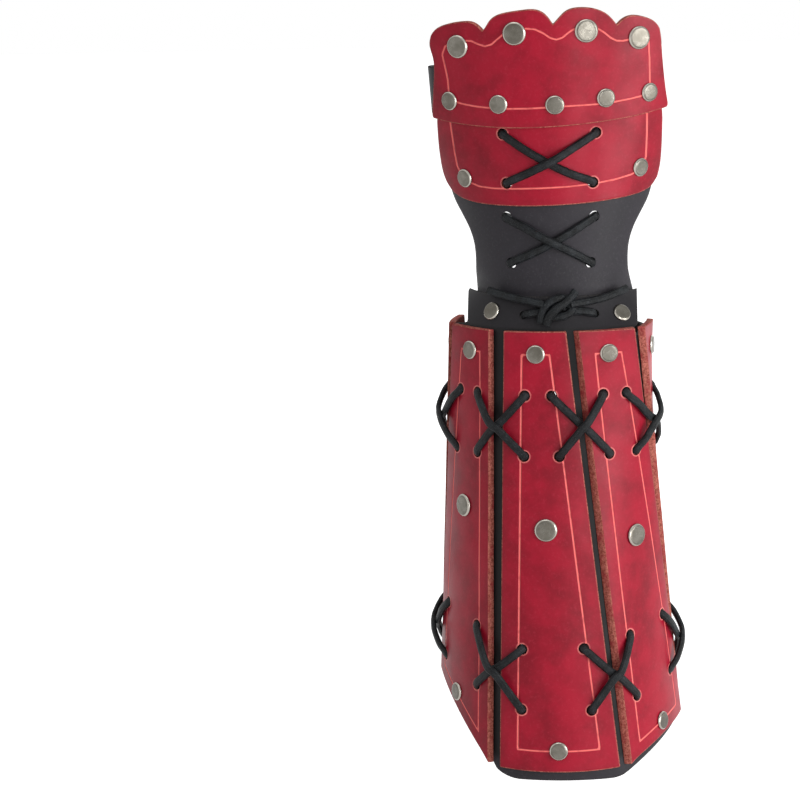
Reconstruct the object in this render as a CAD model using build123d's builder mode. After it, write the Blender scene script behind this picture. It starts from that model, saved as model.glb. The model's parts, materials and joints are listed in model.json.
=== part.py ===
from build123d import *

import os
from dataclasses import dataclass
from math import asin, atan2, cos, pi, radians, sin, tan

# Leather vambrace: a black cuff with five red splints laced over it and a hand guard on a soft wrist.
# Millimetres. +Z runs from the elbow to the fingers, -Y is the outer side of the arm that shows the splints,
# +X is to the right when the splints are looked at. The origin is on the arm's axis, level with the lowest
# point of the cuff's tongue.

os.makedirs("parts", exist_ok=True)

# Leather and lace stock
splint_thickness = 3.5
backing_thickness = 2.4
flap_thickness = 2.0
guard_thickness = 3.2
strap_thickness = 2.2
lace_diameter = 3.6
lace_hole_diameter = 6.2
layer_gap = 0.3
hinge_gap = 0.3
cut_overrun = 60.0

# Heights up the arm
splint_top = 235.0
wing_top = 231.0
band_top = 252.0
hinge_height = 258.0
tab_foot = 237.0
knuckle_height = 400.0

# The cuff at the elbow, where the section is nearly regular
elbow_depth = 51.7
elbow_splint = 63.5
elbow_outer = 50.0
elbow_seam_turns = (21.0, 24.6)
elbow_fold = 16.0
elbow_land = 18.0

# The cuff at the top of the splints, flat in front and leaning to the left
cuff_depth = 34.3
cuff_lean = -10.5
cuff_facing = -7.0
cuff_splint = 32.0
cuff_outer = 25.6
cuff_right_turns = (1.0, 45.0)
cuff_left_turns = (17.0, 36.0)
cuff_right_fold = 30.0
cuff_left_fold = 26.5
cuff_land = 14.0
cuff_land_facing = 170.0

splint_curve = 90.0
seam = 3.5

# The band above the splints and the hand guard's two ends
band_depth = 30.3
band_curve = 50.0
band_splint = 32.0
band_seam = 3.0
band_seam_turn = 6.0
band_side_turn = 30.0
knuckle_depth = 31.0
knuckle_lean = -2.0
knuckle_curve = 107.0
knuckle_splint = 50.0
knuckle_seam = 5.0
knuckle_seam_turn = 4.0

# Motions, in degrees
guard_back_bend = 40.0
guard_palm_bend = 30.0
bend_allowance = 2.0

# Rivets
rivet_shank = 3.0
rivet_hole = 3.3
rivet_seat_gap = 0.15
rivet_burr_gap = 0.35
wrist_cap_lift = 0.45
rivet_burr_diameter = 8.0
rivet_burr_thickness = 0.8
small_cap = 9.8
small_dome = 1.6
large_cap = 12.0
large_dome = 2.0
cap_rim = 0.5

# Places along the splints
top_rivet_height = 223.0
middle_rivet_heights = {"left_outer": 140.0, "left_inner": 140.0, "centre": 131.6,
                        "right_inner": 125.0, "right_outer": 128.0}
bottom_rivet_heights = {"left_outer": 63.0, "left_inner": 38.0, "centre": 15.0,
                        "right_inner": 22.0, "right_outer": 50.0}
splint_foot_heights = {"left_outer": (52.0, 44.0), "left_inner": (44.0, 5.9), "centre": (5.0, 5.0),
                       "right_inner": (5.2, 19.2), "right_outer": (20.0, 46.0)}
centre_foot_sag = 1.2
upper_hole_heights = (201.5, 170.0)
lower_hole_heights = {"far_left": (84.0, 54.0), "centre_left": (72.0, 40.0),
                      "centre_right": (71.5, 38.5), "far_right": (78.0, 46.0)}
hole_inset = 11.5
left_inner_trims = (1.5, 3.2)

# The tongue and the hem of the cuff, seen from the front and from the side
tongue_half_width = 33.0
tongue_left_run = 43.0
tongue_left_rise = 52.0
tongue_right_run = 41.0
tongue_right_rise = 24.0
tongue_round = 20.0
left_hem_heights = (38.0, 46.0)
right_hem_heights = (17.0, 44.0)
hem_front = 10.0
hem_back = 60.0

# Closing edges at the back
eyelet_count = 7
eyelet_low = 66.0
eyelet_high = 221.0
eyelet_flange = 8.4
eyelet_barrel = 5.4
eyelet_bore = 4.4
eyelet_flange_thickness = 0.7
eyelet_hole_gap = 0.15

# Wrist band
band_rivet_places = ((-33.3, 243.5), (34.4, 242.0))
tie_hole_places = ((-16.5, 242.6), (20.6, 242.8))
tie_knot_place = (1.0, 245.4)
tie_knot_width = 11.0
tie_knot_height = 9.0
tie_knot_depth = 6.4
tie_stubs = (((-1.5, 243.0), (-4.2, 237.4), 3.2), ((2.5, 247.5), (8.4, 253.4), 2.3))
tie_end_routes = {
    "left": ((-5.4, 247.6, 4.7), (-14.0, 249.2, 3.8), (-24.0, 250.8, 3.0), (-33.0, 252.6, 2.8)),
    "right": ((7.2, 247.4, 5.0), (16.0, 248.6, 3.8), (25.5, 249.8, 3.0), (35.0, 252.8, 2.8)),
}
tab_half_width = 41.0

# Hand guard, in the front view: shares of its half width from its own middle line, and of its length
guard_half_width = 61.0
guard_reach = 8.0
flap_outline_shares = ((0.7869, 0.8732), (0.8934, 0.6127), (0.8689, 0.3521), (0.7541, 0.2394),
                       (0.6557, 0.1197), (0.6721, -0.0563))
flap_rounds = (4.0, 30.0, 14.0, 30.0, 20.0, 0.0)
plate_outline_shares = ((0.8197, 0.9014), (0.9607, 0.6127), (0.9443, 0.3155), (0.0, 0.2775))
plate_rounds = (4.0, 30.0, 13.0, 150.0)
knuckle_foot_shares = ((-0.9967, 0.5944), (-0.1148, 0.5725), (1, 0.631))
knuckle_left_shares = ((-0.9967, 0.5944), (-0.9689, 0.7746), (-1, 0.8732))
knuckle_crest_shares = ((-0.9639, 0.9183), (-0.7623, 0.962), (-0.5443, 0.9218), (-0.2557, 0.9986),
                        (0.0426, 0.943), (0.3082, 1), (0.5738, 0.9345), (0.7607, 0.9711),
                        (0.9311, 0.9141))
knuckle_right_shares = ((1, 0.631), (0.9639, 0.7606), (0.9443, 0.8775))
plate_lace_hole_shares = ((0.3738, 0.5514), (0.3443, 0.3718))
flap_lace_hole_shares = ((0.3705, 0.2437), (0.3377, 0.0746))
plate_rivet_shares = ((-0.6852, 0.3852), (0.723, 0.4155))
top_row_shares = ((-0.7049, 0.8683), (-0.2607, 0.9127), (0.2967, 0.9176), (0.7016, 0.888))
lower_row_shares = ((-0.7705, 0.6725), (-0.3852, 0.6613), (0.0475, 0.657), (0.4361, 0.6775),
                    (0.7738, 0.6915))

# Palm strap
strap_foot_share = 0.6056
strap_top_share = 0.7817
strap_start = 40.0
strap_left_leave = 61.5
strap_right_leave = 54.0
strap_curl = 14.0

# Sizes that follow from those above
lace_radius = lace_diameter / 2
guard_length = knuckle_height - hinge_height
bend_share = 0.45
hump_shares = (0.2, 0.4, 0.6, 0.8)
hump_lift_shares = (0.0, 1.0, 1.0, 0.0)
lace_lift = lace_diameter + 3 * layer_gap
lace_bend = lace_diameter
rim_bend = 1.5 * lace_diameter
backing_inner = -(layer_gap + backing_thickness)
tab_outer = backing_inner - layer_gap
tab_inner = tab_outer - flap_thickness
plate_inner = layer_gap
plate_outer = plate_inner + guard_thickness
knuckle_inner = plate_outer + layer_gap
knuckle_outer = knuckle_inner + guard_thickness
heel_share = (band_curve + tab_outer) / band_curve

# Numbers of the stretches of a level, from the left closing edge round the front to the right one
LEFT_WING = range(0, 4)
LEFT_HINGE = 4
MIDDLE = range(5, 12)
FRONT = range(6, 11)
RIGHT_HINGE = 12
RIGHT_WING = range(13, 17)
SPLINTS = {"left_outer": 2, "left_inner": 6, "centre": 8, "right_inner": 10, "right_outer": 14}


@dataclass
class Spot:
    """A point of a level in plan, with the angle that its outward side faces, from -Y towards +X."""

    x: float
    y: float
    facing: float

    def walk(self, length, turn, side):
        """The spot at the end of an arc of this length and turn, to the right (1) or to the left (-1)."""
        half = turn / 2
        chord = length * sin(half) / half if turn else length
        middle = self.facing + side * half
        return Spot(self.x + side * chord * cos(middle), self.y + side * chord * sin(middle),
                    self.facing + side * turn)

    def out(self, offset):
        """Plan coordinates of the point this far outside the spot."""
        return (self.x + offset * sin(self.facing), self.y - offset * cos(self.facing))


@dataclass
class Stretch:
    """One arc of a level, kept by its middle spot."""

    middle: Spot
    length: float
    turn: float

    def spot(self, share):
        """A spot of the stretch, at a share from -1 at its left end to 1 at its right end."""
        side = 1 if share >= 0 else -1
        return self.middle.walk(abs(share) * self.length / 2, abs(share) * self.turn / 2, side)


class Level:
    """A horizontal section of the leather: arcs under the splints with sharper turns at the seams."""

    def __init__(self, height, front, facing, splint, outer, curve, seam_width, right_turns, left_turns,
                 folds=(0.0, 0.0), land=0.0, land_facing=180.0):
        self.height = height
        front_spot = Spot(front[0], front[1], radians(facing))
        leaf = seam_width / 2 - hinge_gap
        sides = []
        for side, turns, fold, last in ((1, right_turns, folds[0], land_facing),
                                        (-1, left_turns, folds[1], land_facing - 360.0)):
            inner_turn, outer_turn = (radians(turn) for turn in turns)
            steps = [(seam_width, inner_turn), (splint, splint / curve), (leaf, outer_turn * leaf / seam_width),
                     (2 * hinge_gap, outer_turn * 2 * hinge_gap / seam_width),
                     (leaf, outer_turn * leaf / seam_width), (outer, outer / curve)]
            turned = splint / curve / 2 + sum(turn for _, turn in steps)
            fold_turn = abs(radians(last) - front_spot.facing - side * turned)
            steps += [(fold * fold_turn, fold_turn), (land, 0.0)]
            spot = front_spot.walk(splint / 2, splint / curve / 2, side)
            stretches = []
            for length, turn in steps:
                stretches.append(Stretch(spot.walk(length / 2, turn / 2, side), length, turn))
                spot = spot.walk(length, turn, side)
            sides.append(stretches)
        self.stretches = sides[1][::-1] + [Stretch(front_spot, splint, splint / curve)] + sides[0]


elbow = Level(0.0, (0.0, -elbow_depth), 0.0, elbow_splint, elbow_outer, splint_curve, seam,
              elbow_seam_turns, elbow_seam_turns, (elbow_fold, elbow_fold), elbow_land)
cuff = Level(splint_top, (cuff_lean, -cuff_depth), cuff_facing, cuff_splint, cuff_outer, splint_curve, seam,
             cuff_right_turns, cuff_left_turns, (cuff_right_fold, cuff_left_fold), cuff_land, cuff_land_facing)
band = Level(band_top, (0.0, -band_depth), 0.0, band_splint, band_splint, band_curve, band_seam,
             (band_seam_turn, band_side_turn), (band_seam_turn, band_side_turn))
collar = Level(hinge_height, (0.0, -band_depth), 0.0, band_splint, band_splint, band_curve, band_seam,
               (band_seam_turn, band_side_turn), (band_seam_turn, band_side_turn))
heel = Level(hinge_height, (0.0, -band_depth - tab_outer), 0.0, band_splint * heel_share,
             band_splint * heel_share, band_curve * heel_share, band_seam * heel_share,
             (band_seam_turn, band_side_turn), (band_seam_turn, band_side_turn))
knuckles = Level(knuckle_height, (knuckle_lean, -knuckle_depth), 0.0, knuckle_splint, knuckle_splint,
                 knuckle_curve, knuckle_seam, (knuckle_seam_turn, band_side_turn),
                 (knuckle_seam_turn, band_side_turn))


def resized(stretch, left_gain, right_gain):
    """The same arc, longer at its ends by these lengths."""
    length = stretch.length + left_gain + right_gain
    middle = stretch.spot((right_gain - left_gain) / stretch.length)
    return Stretch(middle, length, stretch.turn * length / stretch.length)


for level in (heel, knuckles):
    level.stretches[FRONT[0]] = resized(level.stretches[FRONT[0]], guard_reach, 0.0)
    level.stretches[FRONT[-1]] = resized(level.stretches[FRONT[-1]], 0.0, guard_reach)
CUFF = (elbow, cuff)
BAND = (cuff, band)
GUARD = (heel, knuckles)


def surface_plane(levels, stretch, share, height, out=0.0):
    """A plane on the ruled surface between two levels: X across, Y up the arm, Z outwards."""
    low, high = (level.stretches[stretch].spot(share) for level in levels)
    part_way = (height - levels[0].height) / (levels[1].height - levels[0].height)
    start, end = Vector(*low.out(out), levels[0].height), Vector(*high.out(out), levels[1].height)
    rise = end - start
    across = (Vector(cos(low.facing), sin(low.facing)) * (levels[0].stretches[stretch].length * (1 - part_way))
              + Vector(cos(high.facing), sin(high.facing)) * (levels[1].stretches[stretch].length * part_way))
    return Plane(origin=start + rise * part_way, x_dir=across, z_dir=across.cross(rise))


def plane_at(levels, x, height, out=0.0):
    """The plane of the front surface at a place of the front view, found by halving."""
    for stretch in FRONT:
        if surface_plane(levels, stretch, 1.0, height, out).origin.X >= x or stretch == FRONT[-1]:
            break
    low, high = -1.0, 1.0
    for _ in range(40):
        middle = (low + high) / 2
        if surface_plane(levels, stretch, middle, height, out).origin.X < x:
            low = middle
        else:
            high = middle
    return surface_plane(levels, stretch, (low + high) / 2, height, out)


def above(plane, distance):
    """The point this far outside a plane's origin."""
    return plane.origin + plane.z_dir * distance


def ribbon(height, stretches, inner, outer):
    """A thin closed band at one height, along stretches given by their first, middle and last spots."""
    with BuildSketch(Plane.XY.offset(height)) as face:
        with BuildLine():
            for side, path in ((outer, stretches), (inner, stretches)):
                for first, middle, last in path:
                    if abs(first.facing - last.facing) < radians(0.01):
                        Line(first.out(side), last.out(side))
                    else:
                        ThreePointArc(first.out(side), middle.out(side), last.out(side))
            for end in (stretches[0][0], stretches[-1][2]):
                Line(end.out(inner), end.out(outer))
        make_face()
    return face.sketch


def level_ribbon(level, numbers, inner, outer):
    """The ribbon of a level over some of its stretches."""
    chosen = [level.stretches[number] for number in numbers]
    return ribbon(level.height, [tuple(one.spot(share) for share in (-1, 0, 1)) for one in chosen], inner, outer)


def strip(levels, numbers, inner, outer):
    """The solid between the ribbons of several levels."""
    with BuildPart() as sheet:
        for low, high in zip(levels, levels[1:]):
            loft([level_ribbon(level, numbers, inner, outer) for level in (low, high)], ruled=True)
    return sheet.part


def guard_spot(shares):
    """A point of the front view, from shares of the hand guard's half width and of its length."""
    return (knuckle_lean + guard_half_width * shares[0], hinge_height + guard_length * shares[1])


def front_prism(table, rounds):
    """A prism along Y over a mirrored outline of the hand guard."""
    right = [guard_spot(pair) for pair in table]
    left = [guard_spot((-across, along)) for across, along in table if across]
    with BuildPart() as prism:
        with BuildSketch(Plane.XZ):
            with BuildLine():
                FilletPolyline(*right, *left[::-1], radius=list(rounds) + list(rounds[:len(left)][::-1]),
                               close=True)
            make_face()
        extrude(amount=cut_overrun, both=True)
    return prism.part


def bore(plane, diameter, inner, outer):
    """A cylinder along a plane's normal, between two distances from it."""
    with BuildPart() as hole:
        with BuildSketch(plane.offset(inner)):
            Circle(diameter / 2)
        extrude(amount=outer - inner)
    return hole.part


def rivet(plane, cap, dome, seat, foot):
    """A domed rivet with its burr: seat and foot are the distances of the two outer leather faces."""
    seat_z, foot_z = seat + rivet_seat_gap, foot - rivet_burr_gap
    rise = dome - cap_rim
    ball = (cap**2 / 4 + rise**2) / (2 * rise)
    lean = asin(cap / 2 / ball) / 2
    with BuildPart() as stud:
        with BuildSketch(Plane(origin=plane.origin, x_dir=plane.x_dir, z_dir=-plane.y_dir)):
            with BuildLine():
                Polyline((0, foot_z - rivet_burr_thickness),
                         (rivet_burr_diameter / 2, foot_z - rivet_burr_thickness),
                         (rivet_burr_diameter / 2, foot_z), (rivet_shank / 2, foot_z),
                         (rivet_shank / 2, seat_z), (cap / 2, seat_z), (cap / 2, seat_z + cap_rim))
                ThreePointArc((cap / 2, seat_z + cap_rim),
                              (ball * sin(lean), seat_z + dome - ball * (1 - cos(lean))), (0, seat_z + dome))
                Line((0, seat_z + dome), (0, foot_z - rivet_burr_thickness))
            make_face()
        revolve(axis=Axis(plane.origin, plane.z_dir))
    return stud.part


def group(name, solids):
    """Several separate solids written as one node."""
    bundle = Compound(children=list(solids))
    bundle.label = name
    export_step(bundle, f"parts/{name}.step")
    return bundle


def write(name, solid):
    """One solid written as one node."""
    solid.label = name
    export_step(solid, f"parts/{name}.step")
    return solid


def lace_loop(corners, bends):
    """A tube of lace along straight runs joined by arcs."""
    with BuildPart() as tube:
        with BuildLine() as path:
            FilletPolyline(*corners, radius=bends)
        with BuildSketch(Plane(origin=path.line @ 0, z_dir=path.line % 0)):
            Circle(lace_radius)
        sweep()
    return tube.part


def crossed_lace(holes, inner, outer, falling_rims, rising_rims, top_strand):
    """A lace crossed outside and upright inside, through four holes (upper left, upper right, lower left,
    lower right). Rims are planes that a strand passes over, each with its share of the lift that the top
    strand has there, and planes face outwards."""
    upper_left, upper_right, lower_left, lower_right = holes
    rest = outer + layer_gap + lace_radius
    deep = inner - layer_gap - lace_radius

    def strand(start, end, lift, rims):
        points = [above(start, deep), above(start, rest)]
        points += [above(rim, rest + layer_gap / 2 + lift * share) for rim, share in rims]
        return points + [above(end, rest), above(end, deep)]

    falling = strand(upper_left, lower_right, lace_lift if top_strand == "falling" else 0.0, falling_rims)
    rising = strand(upper_right, lower_left, lace_lift if top_strand == "rising" else 0.0, rising_rims)
    halfway = (rising[-1] + falling[0]) * 0.5
    slit = (falling[0] - rising[-1]).normalized() * (hinge_gap / 2)
    corners = [halfway + slit] + falling + rising + [halfway - slit]
    bends = []
    for rims in (falling_rims, rising_rims):
        bends += [lace_bend, lace_bend] + [rim_bend] * len(rims) + [lace_bend, lace_bend]
    return lace_loop(corners, bends)


# Holes that the laces and rivets share
def splint_hole(name, side, height):
    """The plane of a lace hole, at the named inset from the splint's left (-1) or right (1) edge."""
    width_low, width_high = (level.stretches[SPLINTS[name]].length for level in CUFF)
    width = width_low + (width_high - width_low) * height / splint_top
    return surface_plane(CUFF, SPLINTS[name], side * (1 - 2 * hole_inset / width), height)


seam_pairs = {"far_left": ("left_outer", "left_inner"), "centre_left": ("left_inner", "centre"),
              "centre_right": ("centre", "right_inner"), "far_right": ("right_inner", "right_outer")}
top_strands = {"far_left": "falling", "centre_left": "falling", "centre_right": "rising", "far_right": "rising"}
seam_rows = [(pair, row, heights) for pair in seam_pairs
             for row, heights in (("upper", upper_hole_heights), ("lower", lower_hole_heights[pair]))]
hole_planes = {name: [] for name in SPLINTS}
for pair, row, heights in seam_rows:
    left_name, right_name = seam_pairs[pair]
    hole_planes[left_name] += [splint_hole(left_name, 1, height) for height in heights]
    hole_planes[right_name] += [splint_hole(right_name, -1, height) for height in heights]
rivet_planes = {name: [surface_plane(CUFF, number, 0.0, height) for height in
                       (top_rivet_height, middle_rivet_heights[name], bottom_rivet_heights[name])]
                for name, number in SPLINTS.items()}


# The five splints
def make_splint(name):
    """A splint with its slanted foot, its lace holes and its three rivet holes."""
    number = SPLINTS[name]
    left_foot, right_foot = splint_foot_heights[name]
    foot = surface_plane(CUFF, number, 0.0, (left_foot + right_foot) / 2)
    half = elbow_splint
    slope = (right_foot - left_foot) / elbow.stretches[number].length
    trims = left_inner_trims if name == "left_inner" else (0.0, 0.0)
    ribbons = []
    for level, trim in zip(CUFF, trims):
        arc = resized(level.stretches[number], 0.0, -trim)
        ribbons.append(ribbon(level.height, [tuple(arc.spot(share) for share in (-1, 0, 1))], 0.0, splint_thickness))
    with BuildPart() as splint:
        loft(ribbons, ruled=True)
        with BuildSketch(foot):
            with BuildLine():
                left_end, right_end = (-half, -half * slope), (half, half * slope)
                if name == "centre":
                    ThreePointArc(left_end, (0, -centre_foot_sag), right_end)
                else:
                    Line(left_end, right_end)
                Polyline(right_end, (half, -cut_overrun), (-half, -cut_overrun), left_end)
            make_face()
        extrude(amount=cut_overrun / 2, both=True, mode=Mode.SUBTRACT)
        for plane in hole_planes[name]:
            add(bore(plane, lace_hole_diameter, -splint_thickness, 2 * splint_thickness), mode=Mode.SUBTRACT)
        for plane in rivet_planes[name]:
            add(bore(plane, rivet_hole, -splint_thickness, 2 * splint_thickness), mode=Mode.SUBTRACT)
    return write(f"splint_{name}", splint.part)


for name in SPLINTS:
    make_splint(name)

# The cuff's backing in front, with the band above the splints and the tongue below them
band_rivet_planes = [plane_at(BAND, x, z) for x, z in band_rivet_places]
tie_hole_planes = [plane_at(BAND, x, z) for x, z in tie_hole_places]
with BuildPart() as forearm_backing:
    add(strip((elbow, cuff, band), MIDDLE, backing_inner, -layer_gap))
    with BuildSketch(Plane.XZ):
        with BuildLine():
            tongue = FilletPolyline((-tongue_half_width - tongue_left_run, tongue_left_rise),
                                    (-tongue_half_width, 0), (tongue_half_width, 0),
                                    (tongue_half_width + tongue_right_run, tongue_right_rise),
                                    radius=tongue_round)
            Polyline(tongue @ 1, (tongue_half_width + tongue_right_run, -cut_overrun),
                     (-tongue_half_width - tongue_left_run, -cut_overrun), tongue @ 0)
        make_face()
    extrude(amount=cut_overrun, both=True, mode=Mode.SUBTRACT)
    for name in ("left_inner", "centre", "right_inner"):
        for plane in hole_planes[name]:
            add(bore(plane, lace_hole_diameter, -cut_overrun / 6, splint_thickness), mode=Mode.SUBTRACT)
        for plane in rivet_planes[name]:
            add(bore(plane, rivet_hole, -cut_overrun / 6, splint_thickness), mode=Mode.SUBTRACT)
    for plane in band_rivet_planes:
        add(bore(plane, rivet_hole, -cut_overrun / 6, splint_thickness), mode=Mode.SUBTRACT)
    for plane in tie_hole_planes:
        add(bore(plane, lace_hole_diameter, -cut_overrun / 6, splint_thickness), mode=Mode.SUBTRACT)
write("forearm_backing", forearm_backing.part)

# The two wings of the cuff, which open at the back, with their eyelets
eyelet_step = (eyelet_high - eyelet_low) / (eyelet_count - 1)
wings = (("left", "left_outer", LEFT_WING, left_hem_heights, 0), ("right", "right_outer", RIGHT_WING,
                                                                  right_hem_heights, 16))
for side, splint_name, numbers, hems, land in wings:
    eyelet_planes = [surface_plane(CUFF, land, 0.0, eyelet_low + eyelet_step * count, -layer_gap)
                     for count in range(eyelet_count)]
    with BuildPart() as wing:
        add(strip(CUFF, numbers, backing_inner, -layer_gap))
        split(bisect_by=Plane.XY.offset(wing_top), keep=Keep.BOTTOM)
        with BuildSketch(Plane.YZ):
            with BuildLine():
                Polyline((-cut_overrun, hems[0]), (hem_front, hems[0]), (hem_back, hems[1]),
                         (2 * cut_overrun, hems[1]), (2 * cut_overrun, -cut_overrun),
                         (-cut_overrun, -cut_overrun), close=True)
            make_face()
        extrude(amount=2 * cut_overrun, both=True, mode=Mode.SUBTRACT)
        for plane in hole_planes[splint_name]:
            add(bore(plane, lace_hole_diameter, -cut_overrun / 6, splint_thickness), mode=Mode.SUBTRACT)
        for plane in rivet_planes[splint_name]:
            add(bore(plane, rivet_hole, -cut_overrun / 6, splint_thickness), mode=Mode.SUBTRACT)
        for plane in eyelet_planes:
            add(bore(plane, eyelet_barrel + 2 * eyelet_hole_gap, -cut_overrun / 6, splint_thickness),
                mode=Mode.SUBTRACT)
    write(f"{side}_wing_backing", wing.part)

    eyelets = []
    for plane in eyelet_planes:
        with BuildPart() as eyelet:
            with BuildSketch(Plane(origin=plane.origin, x_dir=plane.x_dir, z_dir=-plane.y_dir)):
                with BuildLine():
                    bore_x, barrel_x, flange_x = eyelet_bore / 2, eyelet_barrel / 2, eyelet_flange / 2
                    face_z, back_z = rivet_seat_gap, -backing_thickness - rivet_seat_gap
                    Polyline((bore_x, face_z + eyelet_flange_thickness),
                             (flange_x - eyelet_flange_thickness / 2, face_z + eyelet_flange_thickness),
                             (flange_x, face_z), (barrel_x, face_z), (barrel_x, back_z), (flange_x, back_z),
                             (flange_x - eyelet_flange_thickness / 2, back_z - eyelet_flange_thickness),
                             (bore_x, back_z - eyelet_flange_thickness), close=True)
                make_face()
            revolve(axis=Axis(plane.origin, plane.z_dir))
        eyelets.append(eyelet.part)
    group(f"{side}_eyelets", eyelets)

# Rivets of the cuff
rivet_rows = ("top", "middle", "bottom")
for row, row_name in enumerate(rivet_rows):
    group(f"splint_{row_name}_rivets",
          [rivet(rivet_planes[name][row], small_cap if row != 1 else large_cap,
                 small_dome if row != 1 else large_dome, splint_thickness, backing_inner)
           for name in ("left_inner", "centre", "right_inner")])
for side in ("left", "right"):
    group(f"{side}_wing_rivets",
          [rivet(plane, large_cap if row == 1 else small_cap, large_dome if row == 1 else small_dome,
                 splint_thickness, backing_inner) for row, plane in enumerate(rivet_planes[f"{side}_outer"])])
group("wrist_rivets", [rivet(plane, small_cap, small_dome, wrist_cap_lift - layer_gap, tab_inner)
                       for plane in band_rivet_planes])

# Laces across the four seams, in an upper and a lower row
for pair, row, heights in seam_rows:
    left_name, right_name = seam_pairs[pair]
    planes = {(name, height): splint_hole(name, side, height)
              for name, side in ((left_name, 1), (right_name, -1)) for height in heights}
    top, foot = heights
    near = hole_inset / (2 * hole_inset + seam)
    rims = []
    for start, end in ((top, foot), (foot, top)):
        rims.append([(surface_plane(CUFF, SPLINTS[left_name], 1.0, start + (end - start) * near), 1.0),
                     (surface_plane(CUFF, SPLINTS[right_name], -1.0, start + (end - start) * (1 - near)), 1.0)])
    holes = [planes[left_name, top], planes[right_name, top], planes[left_name, foot], planes[right_name, foot]]
    write(f"lace_{pair}_{row}",
          crossed_lace(holes, backing_inner, splint_thickness, rims[0], rims[1][::-1], top_strands[pair]))

# The tab that carries the hand guard inside the band, up to the bending line
with BuildPart() as wrist_tab:
    add(strip((cuff, band, collar), FRONT, tab_inner, tab_outer))
    with BuildSketch(Plane.XZ):
        with Locations((0, (tab_foot + hinge_height - hinge_gap) / 2)):
            RectangleRounded(2 * tab_half_width, hinge_height - hinge_gap - tab_foot, flap_thickness / 4)
    extrude(amount=cut_overrun, both=True, mode=Mode.INTERSECT)
    for plane in band_rivet_planes:
        add(bore(plane, rivet_hole, -cut_overrun / 6, splint_thickness), mode=Mode.SUBTRACT)
    for plane in tie_hole_planes:
        add(bore(plane, lace_hole_diameter, -cut_overrun / 6, splint_thickness), mode=Mode.SUBTRACT)
write("wrist_tab", wrist_tab.part)


def guard_planes(table):
    """Planes on the hand guard at the places of a table."""
    return [plane_at(GUARD, *guard_spot(pair)) for pair in table]


plate_hole_planes, flap_hole_planes = (
    guard_planes([(side * across, along) for across, along in table for side in (-1, 1)])
    for table in (plate_lace_hole_shares, flap_lace_hole_shares))
plate_rivet_planes = guard_planes(plate_rivet_shares)
top_row_planes = guard_planes(top_row_shares)
lower_row_planes = guard_planes(lower_row_shares)
guard_rivet_planes = plate_rivet_planes + top_row_planes + lower_row_planes

# The soft backing of the hand guard, cut away at its foot so that it can bend both ways
hinge_y = -band_depth - tab_outer + flap_thickness / 2
with BuildPart() as hand_backing:
    add(strip(GUARD, FRONT, -flap_thickness, 0.0))
    add(front_prism(flap_outline_shares, flap_rounds), mode=Mode.INTERSECT)
    with BuildSketch(Plane.YZ):
        with BuildLine():
            foot = hinge_height + hinge_gap
            Polyline((hinge_y, foot),
                     (hinge_y + cut_overrun, foot + cut_overrun * tan(radians(guard_palm_bend + bend_allowance))),
                     (hinge_y + cut_overrun, foot - cut_overrun), (hinge_y - cut_overrun, foot - cut_overrun),
                     (hinge_y - cut_overrun,
                      foot + cut_overrun * tan(radians(guard_back_bend + bend_allowance))), close=True)
        make_face()
    extrude(amount=2 * cut_overrun, both=True, mode=Mode.SUBTRACT)
    for plane in plate_hole_planes + flap_hole_planes:
        add(bore(plane, lace_hole_diameter, -cut_overrun / 6, cut_overrun / 6), mode=Mode.SUBTRACT)
    for plane in guard_rivet_planes:
        add(bore(plane, rivet_hole, -cut_overrun / 6, cut_overrun / 6), mode=Mode.SUBTRACT)
write("hand_backing", hand_backing.part)

# The red plate over the back of the hand
with BuildPart() as hand_plate:
    add(strip(GUARD, FRONT, plate_inner, plate_outer))
    add(front_prism(plate_outline_shares, plate_rounds), mode=Mode.INTERSECT)
    for plane in plate_hole_planes:
        add(bore(plane, lace_hole_diameter, -cut_overrun / 6, cut_overrun / 6), mode=Mode.SUBTRACT)
    for plane in guard_rivet_planes:
        add(bore(plane, rivet_hole, -cut_overrun / 6, cut_overrun / 6), mode=Mode.SUBTRACT)
write("hand_plate", hand_plate.part)

# The scalloped plate over the knuckles
with BuildPart() as knuckle_plate:
    add(strip(GUARD, FRONT, knuckle_inner, knuckle_outer))
    with BuildSketch(Plane.XZ):
        with BuildLine():
            foot, left, crest, right = ([guard_spot(pair) for pair in table] for table in
                                        (knuckle_foot_shares, knuckle_left_shares, knuckle_crest_shares,
                                         knuckle_right_shares))
            ThreePointArc(*foot)
            ThreePointArc(*left)
            ThreePointArc(*right)
            Line(left[-1], crest[0])
            Line(right[-1], crest[-1])
            for start in range(0, len(crest) - 1, 2):
                ThreePointArc(*crest[start:start + 3])
        make_face()
    extrude(amount=cut_overrun, both=True, mode=Mode.INTERSECT)
    for plane in top_row_planes + lower_row_planes:
        add(bore(plane, rivet_hole, -cut_overrun / 6, cut_overrun / 6), mode=Mode.SUBTRACT)
write("knuckle_plate", knuckle_plate.part)

# The palm strap, a loop riveted inside the guard at both ends
strap_inner = -flap_thickness - layer_gap - strap_thickness
strap_outer = -flap_thickness - layer_gap


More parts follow.
